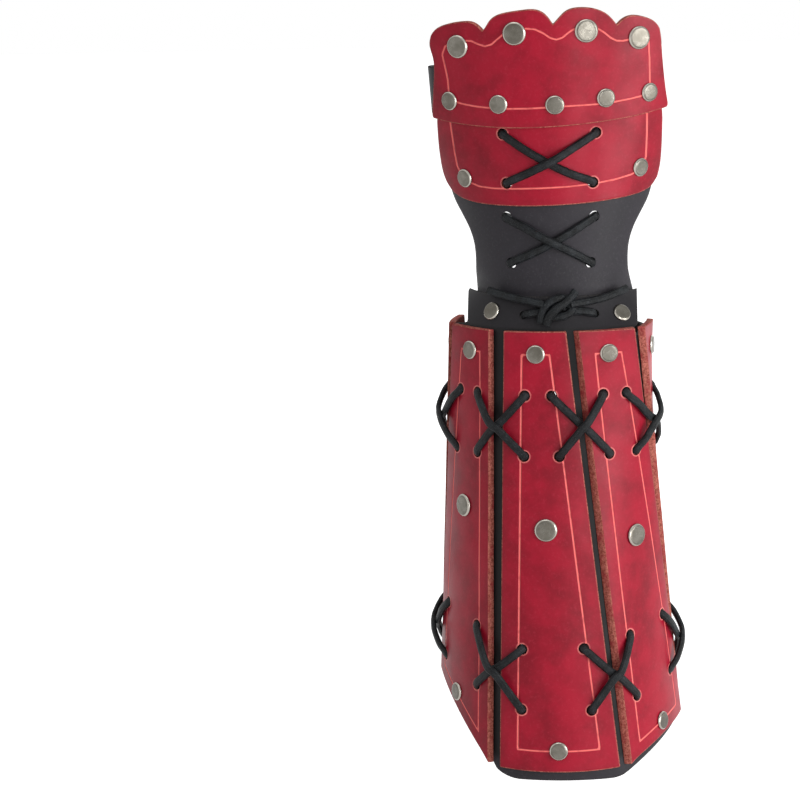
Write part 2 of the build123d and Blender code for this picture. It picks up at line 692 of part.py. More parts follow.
def strap_ribbon(height):
    """The strap's band at one height: along the guard, round each side of the hand and across the palm."""
    halves = []
    for side, leave in ((1, strap_right_leave), (-1, strap_left_leave)):
        places = [knuckle_lean + side * (strap_start + (leave - strap_start) * share)
                  for share in (0.0, 0.5, 1.0)]
        spots = []
        for x in places:
            plane = plane_at(GUARD, x, height)
            spots.append(Spot(plane.origin.X, plane.origin.Y, atan2(plane.x_dir.Y, plane.x_dir.X)))
        turn = pi - side * spots[2].facing
        curl_end = spots[2].walk(strap_curl * turn, turn, side)
        curl = (spots[2], spots[2].walk(strap_curl * turn / 2, turn / 2, side), curl_end)
        halves.append([tuple(spots), curl])
    right, left = halves
    returning = [tuple(Spot(spot.x, spot.y, spot.facing + 2 * pi) for spot in path[::-1]) for path in left[::-1]]
    palm = (right[1][2], right[1][2], returning[0][0])
    return ribbon(height, right + [palm] + returning, strap_inner, strap_outer)


with BuildPart() as palm_strap:
    loft([strap_ribbon(guard_spot((0, share))[1]) for share in (strap_foot_share, strap_top_share)], ruled=True)
    for plane in (lower_row_planes[0], lower_row_planes[-1]):
        add(bore(plane, rivet_hole, -cut_overrun / 6, cut_overrun / 6), mode=Mode.SUBTRACT)
write("palm_strap", palm_strap.part)

# Rivets of the hand guard
group("hand_plate_rivets",
      [rivet(plane, small_cap, small_dome, plate_outer, -flap_thickness) for plane in plate_rivet_planes])
group("knuckle_top_rivets",
      [rivet(plane, large_cap, large_dome, knuckle_outer, -flap_thickness) for plane in top_row_planes])
group("knuckle_lower_rivets",
      [rivet(plane, small_cap, small_dome, knuckle_outer,
             strap_inner if plane in (lower_row_planes[0], lower_row_planes[-1]) else -flap_thickness)
       for plane in lower_row_planes])


# Laces of the hand guard
def guard_lace(name, holes, outer, top_strand):
    """A crossed lace over the smooth guard, with a low hump where its strands cross."""
    upper_left, upper_right, lower_left, lower_right = holes
    paths = []
    for start, end in ((upper_left, lower_right), (upper_right, lower_left)):
        rims = []
        for share, lift_share in zip(hump_shares, hump_lift_shares):
            place = start.origin + (end.origin - start.origin) * share
            rims.append((plane_at(GUARD, place.X, place.Z), lift_share))
        paths.append(rims)
    return write(name, crossed_lace(holes, -flap_thickness, outer, paths[0], paths[1], top_strand))


guard_lace("hand_plate_lace", plate_hole_planes, plate_outer, "rising")
guard_lace("hand_flap_lace", flap_hole_planes, 0.0, "falling")

# The tie of the wrist band: one run through its two holes, a knot in front and two free ends
knot_plane = plane_at(BAND, *tie_knot_place)
tie_deep = tab_inner - layer_gap - lace_radius
knot_side = tie_knot_width / 2 + layer_gap
left_hole, right_hole = tie_hole_planes
corners = []
for hole, side in ((left_hole, -1), (right_hole, 1)):
    knot_end = plane_at(BAND, tie_knot_place[0] + side * knot_side, tie_knot_place[1])
    between = plane_at(BAND, (knot_end.origin.X + hole.origin.X) / 2, (tie_knot_place[1] + hole.origin.Z) / 2)
    run = [above(knot_end, lace_radius), above(between, lace_radius + layer_gap / 2), above(hole, lace_radius),
           above(hole, tie_deep)]
    corners += run if side == -1 else run[::-1]
write("wrist_tie", lace_loop(corners, [rim_bend, lace_bend, lace_bend, lace_bend, lace_bend, rim_bend]))

with BuildPart() as wrist_tie_knot:
    with BuildSketch(knot_plane):
        RectangleRounded(tie_knot_width, tie_knot_height, tie_knot_height / 4)
    extrude(amount=tie_knot_depth)
    fillet(wrist_tie_knot.faces().sort_by(Axis(knot_plane.origin, knot_plane.z_dir))[-1].edges(),
           radius=tie_knot_depth / 4)
    for start, end, height in tie_stubs:
        first, last = (above(plane_at(BAND, *place), height) for place in (start, end))
        with BuildSketch(Plane(origin=first, z_dir=last - first)):
            Circle(lace_radius)
        extrude(amount=(last - first).length)
write("wrist_tie_knot", wrist_tie_knot.part)


def free_bends(points):
    """The largest bend that each corner's two runs allow."""
    bends = []
    for before, corner, after in zip(points, points[1:], points[2:]):
        turn = radians((corner - before).get_angle(after - corner))
        shorter = min((corner - before).length, (after - corner).length)
        bends.append(bend_share * shorter / tan(turn / 2))
    return bends


for side, route in tie_end_routes.items():
    points = [above(plane_at(BAND, x, z), height) for x, z, height in route]
    bends = free_bends(points)
    print(side, "end of the wrist tie, bend radii:", [round(bend, 1) for bend in bends])
    write(f"wrist_tie_{side}_end", lace_loop(points, bends))

# The three motions: the wings open on the seams beside the inner splints, the guard bends above the band
for side, number in (("left", LEFT_HINGE), ("right", RIGHT_HINGE)):
    ends = [Vector(*level.stretches[number].middle.out(-layer_gap), level.height) for level in CUFF]
    print(side, "wing opens about the line through", ends[0], "along", (ends[1] - ends[0]).normalized())
print("the hand guard bends about the line through", Vector(0, hinge_y, hinge_height), "along", Axis.X.direction)
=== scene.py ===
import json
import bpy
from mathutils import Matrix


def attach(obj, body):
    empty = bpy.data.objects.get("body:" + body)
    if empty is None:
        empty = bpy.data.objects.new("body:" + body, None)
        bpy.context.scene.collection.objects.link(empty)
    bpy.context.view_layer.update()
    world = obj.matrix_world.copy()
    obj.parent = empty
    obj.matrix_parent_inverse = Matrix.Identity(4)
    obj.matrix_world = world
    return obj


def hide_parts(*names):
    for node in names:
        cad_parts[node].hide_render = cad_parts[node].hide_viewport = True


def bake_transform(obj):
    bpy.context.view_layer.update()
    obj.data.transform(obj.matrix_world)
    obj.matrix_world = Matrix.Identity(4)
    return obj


bl_info = {
    "name": "Laced leather vambrace",
    "version": (1, 0, 0),
    "blender": (4, 5, 0),
    "location": "View3D > Sidebar > Vambrace",
    "description": "Makes the leather, laces and rivets of a vambrace round its packed solids, and a studio",
    "category": "Object",
}

from math import atan2, copysign, cos, pi, radians, sin, sqrt, tan

import bmesh
import bpy
from mathutils import Matrix, Vector, noise

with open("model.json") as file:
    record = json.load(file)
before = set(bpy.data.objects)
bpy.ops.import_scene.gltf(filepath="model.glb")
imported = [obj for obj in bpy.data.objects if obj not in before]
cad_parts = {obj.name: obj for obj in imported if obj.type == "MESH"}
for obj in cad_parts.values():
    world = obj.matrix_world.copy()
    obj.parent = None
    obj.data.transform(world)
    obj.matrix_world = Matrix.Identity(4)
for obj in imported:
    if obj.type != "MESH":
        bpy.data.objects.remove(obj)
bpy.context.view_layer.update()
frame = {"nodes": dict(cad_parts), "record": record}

MM = 0.001

# Leather and lace stock, in millimetres, as in the part
SPLINT = 3.5
BACKING = 2.4
FLAP = 2.0
GUARD_STOCK = 3.2
STRAP = 2.2
LAYER_GAP = 0.3
HINGE_GAP = 0.3
LACE_HOLE = 5.7
BACKING_HOLE = 4.4
EYELET_HOLE = 5.7

# Faces of the layers, counted outwards from the splints' inner face on the cuff, and from the flap's outer
# face on the guard
BACKING_OUTER = -LAYER_GAP
BACKING_INNER = -(LAYER_GAP + BACKING)
TAB_OUTER = BACKING_INNER - LAYER_GAP
TAB_INNER = TAB_OUTER - FLAP
PLATE_OUTER = LAYER_GAP + GUARD_STOCK
KNUCKLE_OUTER = PLATE_OUTER + LAYER_GAP + GUARD_STOCK

# Heights up the arm
SPLINT_TOP = 235.0
WING_TOP = 231.0
BAND_TOP = 252.0
HINGE_HEIGHT = 258.0
KNUCKLE_HEIGHT = 400.0
FLAP_FOOT, FLAP_TOP = 237.4, 382.0

# The cuff at the elbow, where the section is nearly regular
ELBOW_FRONT = (0.0, -51.7)
ELBOW_SPLINT = 63.5
ELBOW_OUTER = 50.0
ELBOW_TURNS = (21.0, 24.6)
ELBOW_FOLDS = (16.0, 16.0)
ELBOW_LAND = 18.0

# The cuff at the top of the splints, flat in front and leaning to the left
CUFF_FRONT = (-10.5, -34.3)
CUFF_FACING = -7.0
CUFF_SPLINT = 32.0
CUFF_OUTER = 25.6
CUFF_RIGHT_TURNS = (1.0, 45.0)
CUFF_LEFT_TURNS = (17.0, 36.0)
CUFF_FOLDS = (30.0, 26.5)
CUFF_LAND = 14.0
CUFF_LAND_FACING = 170.0
SPLINT_CURVE = 90.0
SEAM = 3.5

# The band above the splints and the hand guard's two ends
BAND_DEPTH = 30.3
BAND_SPLINT = 32.0
BAND_CURVE = 50.0
BAND_SEAM = 3.0
BAND_TURNS = (6.0, 30.0)
GUARD_MIDDLE = -2.0
GUARD_REACH = 8.0
KNUCKLE_DEPTH = 31.0
KNUCKLE_SPLINT = 50.0
KNUCKLE_CURVE = 107.0
KNUCKLE_SEAM = 5.0
KNUCKLE_TURNS = (4.0, 30.0)

# Places along the splints
TOP_RIVET = 223.0
MIDDLE_RIVETS = {"left_outer": 140.0, "left_inner": 140.0, "centre": 131.6, "right_inner": 125.0,
                 "right_outer": 128.0}
BOTTOM_RIVETS = {"left_outer": 63.0, "left_inner": 38.0, "centre": 15.0, "right_inner": 22.0,
                 "right_outer": 50.0}
FOOT_HEIGHTS = {"left_outer": (52.0, 44.0), "left_inner": (44.0, 5.9), "centre": (5.0, 5.0),
                "right_inner": (5.2, 19.2), "right_outer": (20.0, 46.0)}
FOOT_BOWS = {"left_inner": 5.2, "right_inner": 2.8, "centre": -1.2}
LEFT_INNER_TRIMS = (1.5, 3.2)
SLANTS = {"left_outer": (0.4, 0.4), "left_inner": (0.4, 1.3), "centre": (0.3, 0.3), "right_inner": (2.4, 0.3),
          "right_outer": (1.6, 0.4)}

# How far inside its long edges a splint slants and how fast that falls off, how far a foot laps over the
# black leather, the share of the width over which that lap fades, and the run up the splint over which the
# painted shade under it fades out
SLANT_REACH, SLANT_FALL = 9.0, 1.5
FOOT_COVER = 2.0
COVER_FADE = 0.35
SHADE_FADE_RUN = 4.0

# Lace holes, and how far the lower ones of a pair's left and right splints sit from the pair's heights
SEAM_PAIRS = {"far_left": ("left_outer", "left_inner"), "centre_left": ("left_inner", "centre"),
              "centre_right": ("centre", "right_inner"), "far_right": ("right_inner", "right_outer")}
UPPER_HOLES = (201.5, 170.0)
LOWER_HOLES = {"far_left": (84.0, 54.0), "centre_left": (72.0, 40.0), "centre_right": (71.5, 38.5),
               "far_right": (78.0, 46.0)}
LOWER_TILTS = {"far_left": (0.0, 0.0), "centre_left": (6.0, -3.4), "centre_right": (-2.4, 1.6),
               "far_right": (0.0, 0.0)}
HOLE_INSET = 11.5
TOP_STRANDS = {"far_left": "falling", "centre_left": "falling", "centre_right": "rising",
               "far_right": "rising"}

# The tongue and the hem of the cuff; a tongue's side has the end of the foot and the slope beyond it
TONGUE_FOOT = -1.8
TONGUE_LEFT, TONGUE_RIGHT = (30.5, 52.0 / 43.0), (31.5, 0.54)
TONGUE_ROUND = 20.0
HEMS = {"left": (38.0, 46.0), "right": (17.0, 44.0)}
HEM_FRONT, HEM_BACK = 10.0, 60.0

# Closing edges at the back
EYELETS = 7
EYELET_LOW, EYELET_HIGH = 66.0, 221.0

# Places on the band and the hand guard, from their middle lines
BAND_LEFT, BAND_RIGHT = -46.4, 42.6
BAND_STEP = 1.5
BAND_HALF_WIDTH = 40.0
BAND_RIVETS = ((-33.3, 243.5), (34.4, 242.0))
TIE_HOLES = ((-16.5, 242.6), (20.6, 242.8))
PLATE_RIVETS = ((-41.8, 312.7), (44.1, 317.0))
TOP_ROW = ((-43.0, 381.3), (-15.9, 387.6), (18.1, 388.3), (42.8, 384.1))
LOWER_ROW = ((-47.0, 353.5), (-23.5, 351.9), (2.9, 351.3), (26.6, 354.2), (47.2, 356.2))
PLATE_HOLES = ((22.8, 336.3), (21.0, 310.8))
FLAP_HOLES = ((22.6, 292.6), (20.6, 268.6))
STRAP_HEIGHTS = (344.0, 369.0)
STRAP_START = 40.0
STRAP_LEAVES = {1: 54.0, -1: 61.5}
STRAP_CURL = 14.0
PLATE_HIDDEN = 345.0

# How much the hand flap drifts to the guard's middle and slackens, between these heights
DRIFT_START = 245.0
SLACK_START, SLACK_END = 262.0, 300.0
FLAP_RUN = 20.0

# How a lace is swept and lies: its steps, the flattening of its round, its fray, and its ways in and out of
# holes and over other strands
LACE_STEP, LACE_STEPS = 0.9, (3, 12)
LACE_SIDES = 14
LACE_ROUND = 0.82
LACE_FRAY, FRAY_SCALE, FRAY_SHIFT = 0.05, 0.55, 3.1
LACE_PROUD, LACE_TURN = 1.05, 1.6
LACE_REST = 0.25
LACE_LEAN = 0.95
LACE_LEAVE = 2.7
INSIDE_GAP = 0.2
INSIDE_LEAVE = 2.4
STRAND_GAP = 0.3
FAR_HUMP = 0.2
TIE_SINK = 2.0
BEHIND_SHARES = (0.33, 0.67)
TIE_END_HALVES = (2.0 * MM, 1.45 * MM)

# Where a strand rests over a seam, on the left splint's right edge (1) or the right one's left edge (-1): how
# far inside the edge, and its share of the top strand's lift
FLAT_RESTS = ((1, 0.0, 1.0), (-1, 0.0, 1.0))
SHARP_RESTS = ((1, 6.2, 0.35), (1, 0.3, 0.8), (-1, 0.3, 0.8), (-1, 6.2, 0.35))

# The same on the hand guard, as shares of the way, with the sags of the falling and the rising strand
GUARD_LIFTS = ((0.24, 0.0), (0.42, 0.9), (0.58, 0.9), (0.76, 0.0))
PLATE_BOWS, FLAP_BOWS = (2.0, 1.0), (-0.8, 0.9)

# Rivets: cap radii, the crown as shares of the radius and rises over the leather, the rim as steps in from
# the cap's edge and rises, and the burr as radii and depths behind the leather
SMALL_CAP, LARGE_CAP = 4.9, 6.0
CAP_CROWN = ((0.0, 1.40), (0.4, 1.395), (0.7, 1.375))
CAP_RIM = ((1.05, 1.34), (0.8, 1.24), (0.5, 1.02), (0.16, 0.72), (0.0, 0.42), (0.0, 0.14), (0.12, 0.0))
SHANK = 1.5
BURR = ((SHANK, 0.0), (3.9, 0.0), (4.0, 0.1), (4.0, 0.6), (3.8, 0.8), (1.7, 0.8), (SHANK, 1.0), (0.0, 1.05))
CAP_GAP, BURR_GAP = 0.05, 0.25
CAP_SIDES = 44

# Values of the maps: black leather with no painted shade, the band drawn partway darker, and full painted
# shade where the splints cover it; and no edge or punched hole near
NO_PAINTED_SHADE, BAND_DARKER, FULL_PAINTED_SHADE = 20.0, 8.5, 0.0
NO_EDGE, NO_RING = 20.0, 30.0

# Cells of the sheets' grids, across and along, and of the strap's three stretches
SPLINT_GRID, FLAP_GRID, PLATE_GRID, KNUCKLE_GRID = (44, 170), (56, 120), (84, 64), (120, 50)
BACKING_ROWS, BAND_ROWS, STRAP_ROWS = 120, 12, 20
UNDER_PARTS, CURL_PARTS, PALM_PARTS = 10, 24, 48

# Size and reach of the slow unevenness of hand-cut leather, and the way out of the front view
SPLINT_WAVER, PLATE_WAVER, FLAP_WAVER = (45.0, 0.16), (39.0, 0.16), (30.0, 0.35)
FORWARDS = Vector((0, -1, 0))

# Reach and rounds of the searches for a place, and the tools' own sizes
BEYOND_ENDS, HALVINGS = 1.7, 22
FIRST_FOOT, SETTLINGS = 10.0, 12
SAME_POINT = 0.01 * MM
PUNCH_SIDES, PUNCH_LENGTH = 36, 24.0

# Angles in degrees past which a cut edge is rounded, and past which leather, lace and metal stay sharp
EDGE_ANGLE = 50.0
LEATHER_CREASE, LACE_CREASE, METAL_CREASE = 38.0, 60.0, 32.0


def clamped(value, low=0.0, high=1.0):
    """The value, kept between two limits."""
    return min(max(value, low), high)


def parts(count):
    """Even shares from 0 to 1."""
    return [part / count for part in range(count + 1)]


def shares(count):
    """Even shares from -1 to 1."""
    return [2 * step / count - 1 for step in range(count + 1)]


class Spot:
    """A point of a level in plan, with the angle that its outward side faces."""

    def __init__(self, x, y, facing):
        self.x, self.y, self.facing = x, y, facing

    def walk(self, length, turn, side):
        """The spot at the end of an arc, to the right (1) or to the left (-1)."""
        half = turn / 2
        chord = length * sin(half) / half if turn else length
        middle = self.facing + side * half
        return Spot(self.x + side * chord * cos(middle), self.y + side * chord * sin(middle),
                    self.facing + side * turn)

    def out(self, offset):
        """The plan point this far outside the spot."""
        return (self.x + offset * sin(self.facing), self.y - offset * cos(self.facing))


class Stretch:
    """One arc of a level, kept by its middle spot."""

    def __init__(self, middle, length, turn):
        self.middle, self.length, self.turn = middle, length, turn

    def spot(self, share):
        """A spot of the stretch, from -1 at its left end to 1 at its right end."""
        way = abs(share)
        return self.middle.walk(way * self.length / 2, way * self.turn / 2, 1 if share >= 0 else -1)


class Level:
    """A horizontal section of the leather: arcs under the splints with sharper turns at the seams."""

    def __init__(self, height, front, facing, splint, outer, curve, seam, right_turns, left_turns,
                 folds=(0.0, 0.0), land=0.0, land_facing=180.0):
        self.height = height
        start = Spot(front[0], front[1], radians(facing))
        leaf = seam / 2 - HINGE_GAP
        sides = []
        for side, turns, fold, last in ((1, right_turns, folds[0], land_facing),
                                        (-1, left_turns, folds[1], land_facing - 360.0)):
            inner, outward = (radians(turn) for turn in turns)
            steps = [(seam, inner), (splint, splint / curve), (leaf, outward * leaf / seam),
                     (2 * HINGE_GAP, outward * 2 * HINGE_GAP / seam), (leaf, outward * leaf / seam),
                     (outer, outer / curve)]
            turned = splint / curve / 2 + sum(turn for _, turn in steps)
            fold_turn = abs(radians(last) - start.facing - side * turned)
            steps += [(fold * fold_turn, fold_turn), (land, 0.0)]
            spot = start.walk(splint / 2, splint / curve / 2, side)
            stretches = []
            for length, turn in steps:
                stretches.append(Stretch(spot.walk(length / 2, turn / 2, side), length, turn))
                spot = spot.walk(length, turn, side)
            sides.append(stretches)
        self.stretches = sides[1][::-1] + [Stretch(start, splint, splint / curve)] + sides[0]


def band_level(height, scale=1.0, out=0.0):
    """A section of the band, or of the flap inside it at a smaller scale and this much further out."""
    sizes = (scale * size for size in (BAND_SPLINT, BAND_SPLINT, BAND_CURVE, BAND_SEAM))
    return Level(height, (0.0, out - BAND_DEPTH), 0.0, *sizes, BAND_TURNS, BAND_TURNS)


def resized(stretch, left_gain, right_gain):
    """The same arc, longer at its ends by these lengths."""
    length = stretch.length + left_gain + right_gain
    middle = stretch.spot((right_gain - left_gain) / stretch.length)
    return Stretch(middle, length, stretch.turn * length / stretch.length)


# Stretches of a level, counted from the left closing edge at the back to the right one, the splints' edges
# beside the seams between them, and the cells of the backing's grid over each stretch
LEFT_LAND, LEFT_HINGE, RIGHT_HINGE, RIGHT_LAND = 0, 4, 12, 16
SPLINTS = {"left_outer": 2, "left_inner": 6, "centre": 8, "right_inner": 10, "right_outer": 14}
FRONT = range(SPLINTS["left_inner"], SPLINTS["right_inner"] + 1)
SPLINT_NAMES = {number: name for name, number in SPLINTS.items()}
BESIDE = {5: ("left_inner", -1.0), 7: ("centre", -1.0), 9: ("centre", 1.0), 11: ("right_inner", 1.0)}
CELLS = (8, 14, 24, 2, 2, 2, 26, 3, 26, 3, 26, 2, 2, 2, 24, 14, 8)

elbow = Level(0.0, ELBOW_FRONT, 0.0, ELBOW_SPLINT, ELBOW_OUTER, SPLINT_CURVE, SEAM, ELBOW_TURNS, ELBOW_TURNS,
              ELBOW_FOLDS, ELBOW_LAND)
cuff = Level(SPLINT_TOP, CUFF_FRONT, CUFF_FACING, CUFF_SPLINT, CUFF_OUTER, SPLINT_CURVE, SEAM,
             CUFF_RIGHT_TURNS, CUFF_LEFT_TURNS, CUFF_FOLDS, CUFF_LAND, CUFF_LAND_FACING)
band, collar = band_level(BAND_TOP), band_level(HINGE_HEIGHT)
heel = band_level(HINGE_HEIGHT, (BAND_CURVE + TAB_OUTER) / BAND_CURVE, -TAB_OUTER)
knuckles = Level(KNUCKLE_HEIGHT, (GUARD_MIDDLE, -KNUCKLE_DEPTH), 0.0, KNUCKLE_SPLINT, KNUCKLE_SPLINT,
                 KNUCKLE_CURVE, KNUCKLE_SEAM, KNUCKLE_TURNS, KNUCKLE_TURNS)
for level in (heel, knuckles):
    level.stretches[FRONT[0]] = resized(level.stretches[FRONT[0]], GUARD_REACH, 0.0)
    level.stretches[FRONT[-1]] = resized(level.stretches[FRONT[-1]], 0.0, GUARD_REACH)
CUFF, BAND, COLLAR, GUARD = (elbow, cuff), (cuff, band), (band, collar), (heel, knuckles)


def on(levels, stretch, share, height, out=0.0):
    """A point of the surface between two levels, in millimetres."""
    low, high = (level.stretches[stretch].spot(share).out(out) for level in levels)
    start, end = Vector((*low, levels[0].height)), Vector((*high, levels[1].height))
    return start.lerp(end, (height - start.z) / (end.z - start.z))


class Seat:
    """A place on a surface: its point, and the directions across it, up it and out of it."""

    def __init__(self, levels, stretch, share, height, out=0.0):
        low, high = (level.stretches[stretch].spot(share) for level in levels)
        way = (height - levels[0].height) / (levels[1].height - levels[0].height)
        self.point = on(levels, stretch, share, height, out)
        foot, top = (on(levels, stretch, share, level.height, out) for level in levels)
        across = Vector((0, 0, 0))
        for level, spot, weight in zip(levels, (low, high), (1 - way, way)):
            width = level.stretches[stretch].length * weight
            across += Vector((cos(spot.facing), sin(spot.facing), 0)) * width
        self.out = across.cross(top - foot).normalized()
        self.across = across.normalized()
        self.up = self.out.cross(self.across)

    def above(self, distance):
        """The point this far outside the seat."""
        return self.point + self.out * distance


def find(levels, x, height, out=0.0):
    """The stretch and share of the front surface at x in the front view, a little beyond its ends too."""
    for stretch in FRONT:
        if on(levels, stretch, 1.0, height, out).x >= x or stretch == FRONT[-1]:
            break
    low = -BEYOND_ENDS if stretch == FRONT[0] else -1.0
    high = BEYOND_ENDS if stretch == FRONT[-1] else 1.0
    for _ in range(HALVINGS):
        middle = (low + high) / 2
        if on(levels, stretch, middle, height, out).x < x:
            low = middle
        else:
            high = middle
    return stretch, (low + high) / 2


def seat_at(levels, x, height, out=0.0):
    """The seat of the front surface at a place of the front view."""
    return Seat(levels, *find(levels, x, height, out), height, out)


def splint_width(name, height):
    """The width of a splint along its curve at one height."""
    low, high = (level.stretches[SPLINTS[name]].length for level in CUFF)
    return low + (high - low) * height / SPLINT_TOP


def splint_foot(name, share):
    """The height of a splint's foot at a share of its width."""
    left, right = FOOT_HEIGHTS[name]
    return left + (right - left) * (share + 1) / 2 + FOOT_BOWS.get(name, 0.0) * (1 - share**2)


def edge_seat(name, side, inset, height):
    """The seat this far inside a splint's left (-1) or right (1) edge."""
    share = side * (1 - 2 * inset / splint_width(name, height))
    return Seat(CUFF, SPLINTS[name], share, height)


def hole_seats(name):
    """Every lace hole of a splint."""
    seats = []
    for pair, names in SEAM_PAIRS.items():
        if name in names:
            side, tilt = (1, LOWER_TILTS[pair][0]) if names[0] == name else (-1, LOWER_TILTS[pair][1])
            heights = UPPER_HOLES + tuple(height + tilt for height in LOWER_HOLES[pair])
            seats += [edge_seat(name, side, HOLE_INSET, height) for height in heights]
    return seats


class VambraceLeather(bpy.types.PropertyGroup):
    """Colours and surface of the leather"""

    red: bpy.props.FloatVectorProperty(
        name="Red", description="Dyed face of the splints and plates", subtype="COLOR", size=4,
        default=(0.355, 0.0065, 0.0245, 1.0), min=0.0, max=1.0)
    deep_red: bpy.props.FloatVectorProperty(
        name="Deep red", description="Where the dye took darker", subtype="COLOR", size=4,
        default=(0.215, 0.0045, 0.0150, 1.0), min=0.0, max=1.0)
    score: bpy.props.FloatVectorProperty(
        name="Scored line", description="Leather bared by the scoring tool", subtype="COLOR", size=4,
        default=(0.9, 0.17, 0.16, 1.0), min=0.0, max=1.0)
    raw_edge: bpy.props.FloatVectorProperty(
        name="Raw edge", description="Cut edge of the red leather", subtype="COLOR", size=4,
        default=(0.52, 0.165, 0.125, 1.0), min=0.0, max=1.0)
    black: bpy.props.FloatVectorProperty(
        name="Black", description="Face of the backing, flap and strap", subtype="COLOR", size=4,
        default=(0.0215, 0.0195, 0.0235, 1.0), min=0.0, max=1.0)
    score_width: bpy.props.FloatProperty(
        name="Score width", description="Width of a scored line", unit="LENGTH",
        default=0.9 * MM, min=0.2 * MM, max=3 * MM)
    score_inset: bpy.props.FloatProperty(
        name="Score inset", description="Distance of the scored lines from a splint's long edges",
        unit="LENGTH", default=9.8 * MM, min=3 * MM, max=15 * MM)
    edge_round: bpy.props.FloatProperty(
        name="Edge rounding", description="Width of the rounding of cut edges", unit="LENGTH",
        default=0.5 * MM, min=0.05 * MM, max=1.0 * MM)


class VambraceLace(bpy.types.PropertyGroup):
    """Size and colour of the laces"""

    width: bpy.props.FloatProperty(
        name="Width", description="Width of the flattened lace", unit="LENGTH",
        default=4.3 * MM, min=2 * MM, max=6 * MM)
    thickness: bpy.props.FloatProperty(
        name="Thickness", description="Thickness of the flattened lace", unit="LENGTH",
        default=2.9 * MM, min=0.8 * MM, max=4 * MM)
    colour: bpy.props.FloatVectorProperty(
        name="Colour", description="Colour of the lace", subtype="COLOR", size=4,
        default=(0.0070, 0.0080, 0.0092, 1.0), min=0.0, max=1.0)


class VambraceMetal(bpy.types.PropertyGroup):
    """Colour of the rivets and eyelets"""

    nickel: bpy.props.FloatVectorProperty(
        name="Antique nickel", description="Brushed metal of the rivet caps", subtype="COLOR", size=4,
        default=(0.165, 0.155, 0.134, 1.0), min=0.0, max=1.0)
    # The rims' lighter colour is rubbed metal and also a painted highlight
    rim: bpy.props.FloatVectorProperty(
        name="Rim", description="Rubbed rims of the rivet caps", subtype="COLOR", size=4,
        default=(0.43, 0.40, 0.355, 1.0), min=0.0, max=1.0)
    patina: bpy.props.FloatVectorProperty(
        name="Patina", description="Dark film in the pits of the metal", subtype="COLOR", size=4,
        default=(0.098, 0.090, 0.074, 1.0), min=0.0, max=1.0)


class VambraceStage(bpy.types.PropertyGroup):
    """Floor, lamps and camera"""

    floor_drop: bpy.props.FloatProperty(
        name="Floor drop", description="How far the floor lies below the vambrace, which is held up",
        unit="LENGTH", default=0.075, min=0.0, max=1.0)
    key_power: bpy.props.FloatProperty(
        name="Key lamp", description="Power of the large lamp in front on the right", unit="POWER",
        default=28.0, min=0.0, max=200.0)
    strip_power: bpy.props.FloatProperty(
        name="Strip lamp", description="Power of the tall narrow lamp that the caps and plates mirror",
        unit="POWER", default=6.5, min=0.0, max=200.0)
    fill_power: bpy.props.FloatProperty(
        name="Fill lamp", description="Power of the large lamp in front on the left", unit="POWER",
        default=2.0, min=0.0, max=200.0)
    back_power: bpy.props.FloatProperty(
        name="Back lamps", description="Power of the lamps behind and above", unit="POWER",
        default=6.0, min=0.0, max=200.0)


# Tints that go with the settings: flecks, handled and rubbed edges (the black one also a painted edge
# highlight), the painted shade under the splints, punched rings, pith and fuzz
RED_FLECKS = (0.50, 0.045, 0.075, 1.0)
RED_HANDLED = (0.20, 0.012, 0.020, 1.0)
RED_RUBBED = (0.66, 0.17, 0.17, 1.0)
RED_PUNCHED = (0.80, 0.22, 0.20, 1.0)
RED_PITH = (0.19, 0.040, 0.030, 1.0)
RED_SOAKED = (0.26, 0.02, 0.03, 1.0)
RED_NAP = ((0.10, 0.02, 0.018, 1.0), (0.27, 0.07, 0.055, 1.0))
BLACK_FLECKS = (0.085, 0.080, 0.088, 1.0)
BLACK_WEAR_AND_HIGHLIGHT = (0.105, 0.10, 0.105, 1.0)
# Painted shade colour for the backing where the splints cover it
BLACK_PAINTED_SHADE = (0.004, 0.0035, 0.004, 1.0)
BLACK_PITH = ((0.018, 0.017, 0.018, 1.0), (0.075, 0.068, 0.066, 1.0))
BLACK_NAP = ((0.018, 0.017, 0.018, 1.0), (0.060, 0.055, 0.055, 1.0))
LACE_FUZZ = (0.12, 0.13, 0.135, 1.0)
FLOOR_GREY = (0.86, 0.86, 0.86, 1.0)
WHITE = (1.0, 1.0, 1.0, 1.0)

# Depths of the leathers' grain and nap, of a scored line, of a lace's ridges, knit and fuzz, and of the
# metal's pits and brush marks
RED_GRAIN, BLACK_GRAIN = 0.016 * MM, 0.022 * MM
SCORE_DEPTH = 0.22 * MM
RED_FIBRE, BLACK_FIBRE = 0.16 * MM, 0.12 * MM
RIDGE, KNIT, FUZZ = 0.05 * MM, 0.07 * MM, 0.22 * MM
PITTING, BRUSHING = 0.03 * MM, 0.02 * MM

# The weave of a lace: ridges and crossing yarns round it, and millimetres along it for one yarn
RIDGES, YARNS, YARN_PITCH = 9, 3, 1.25


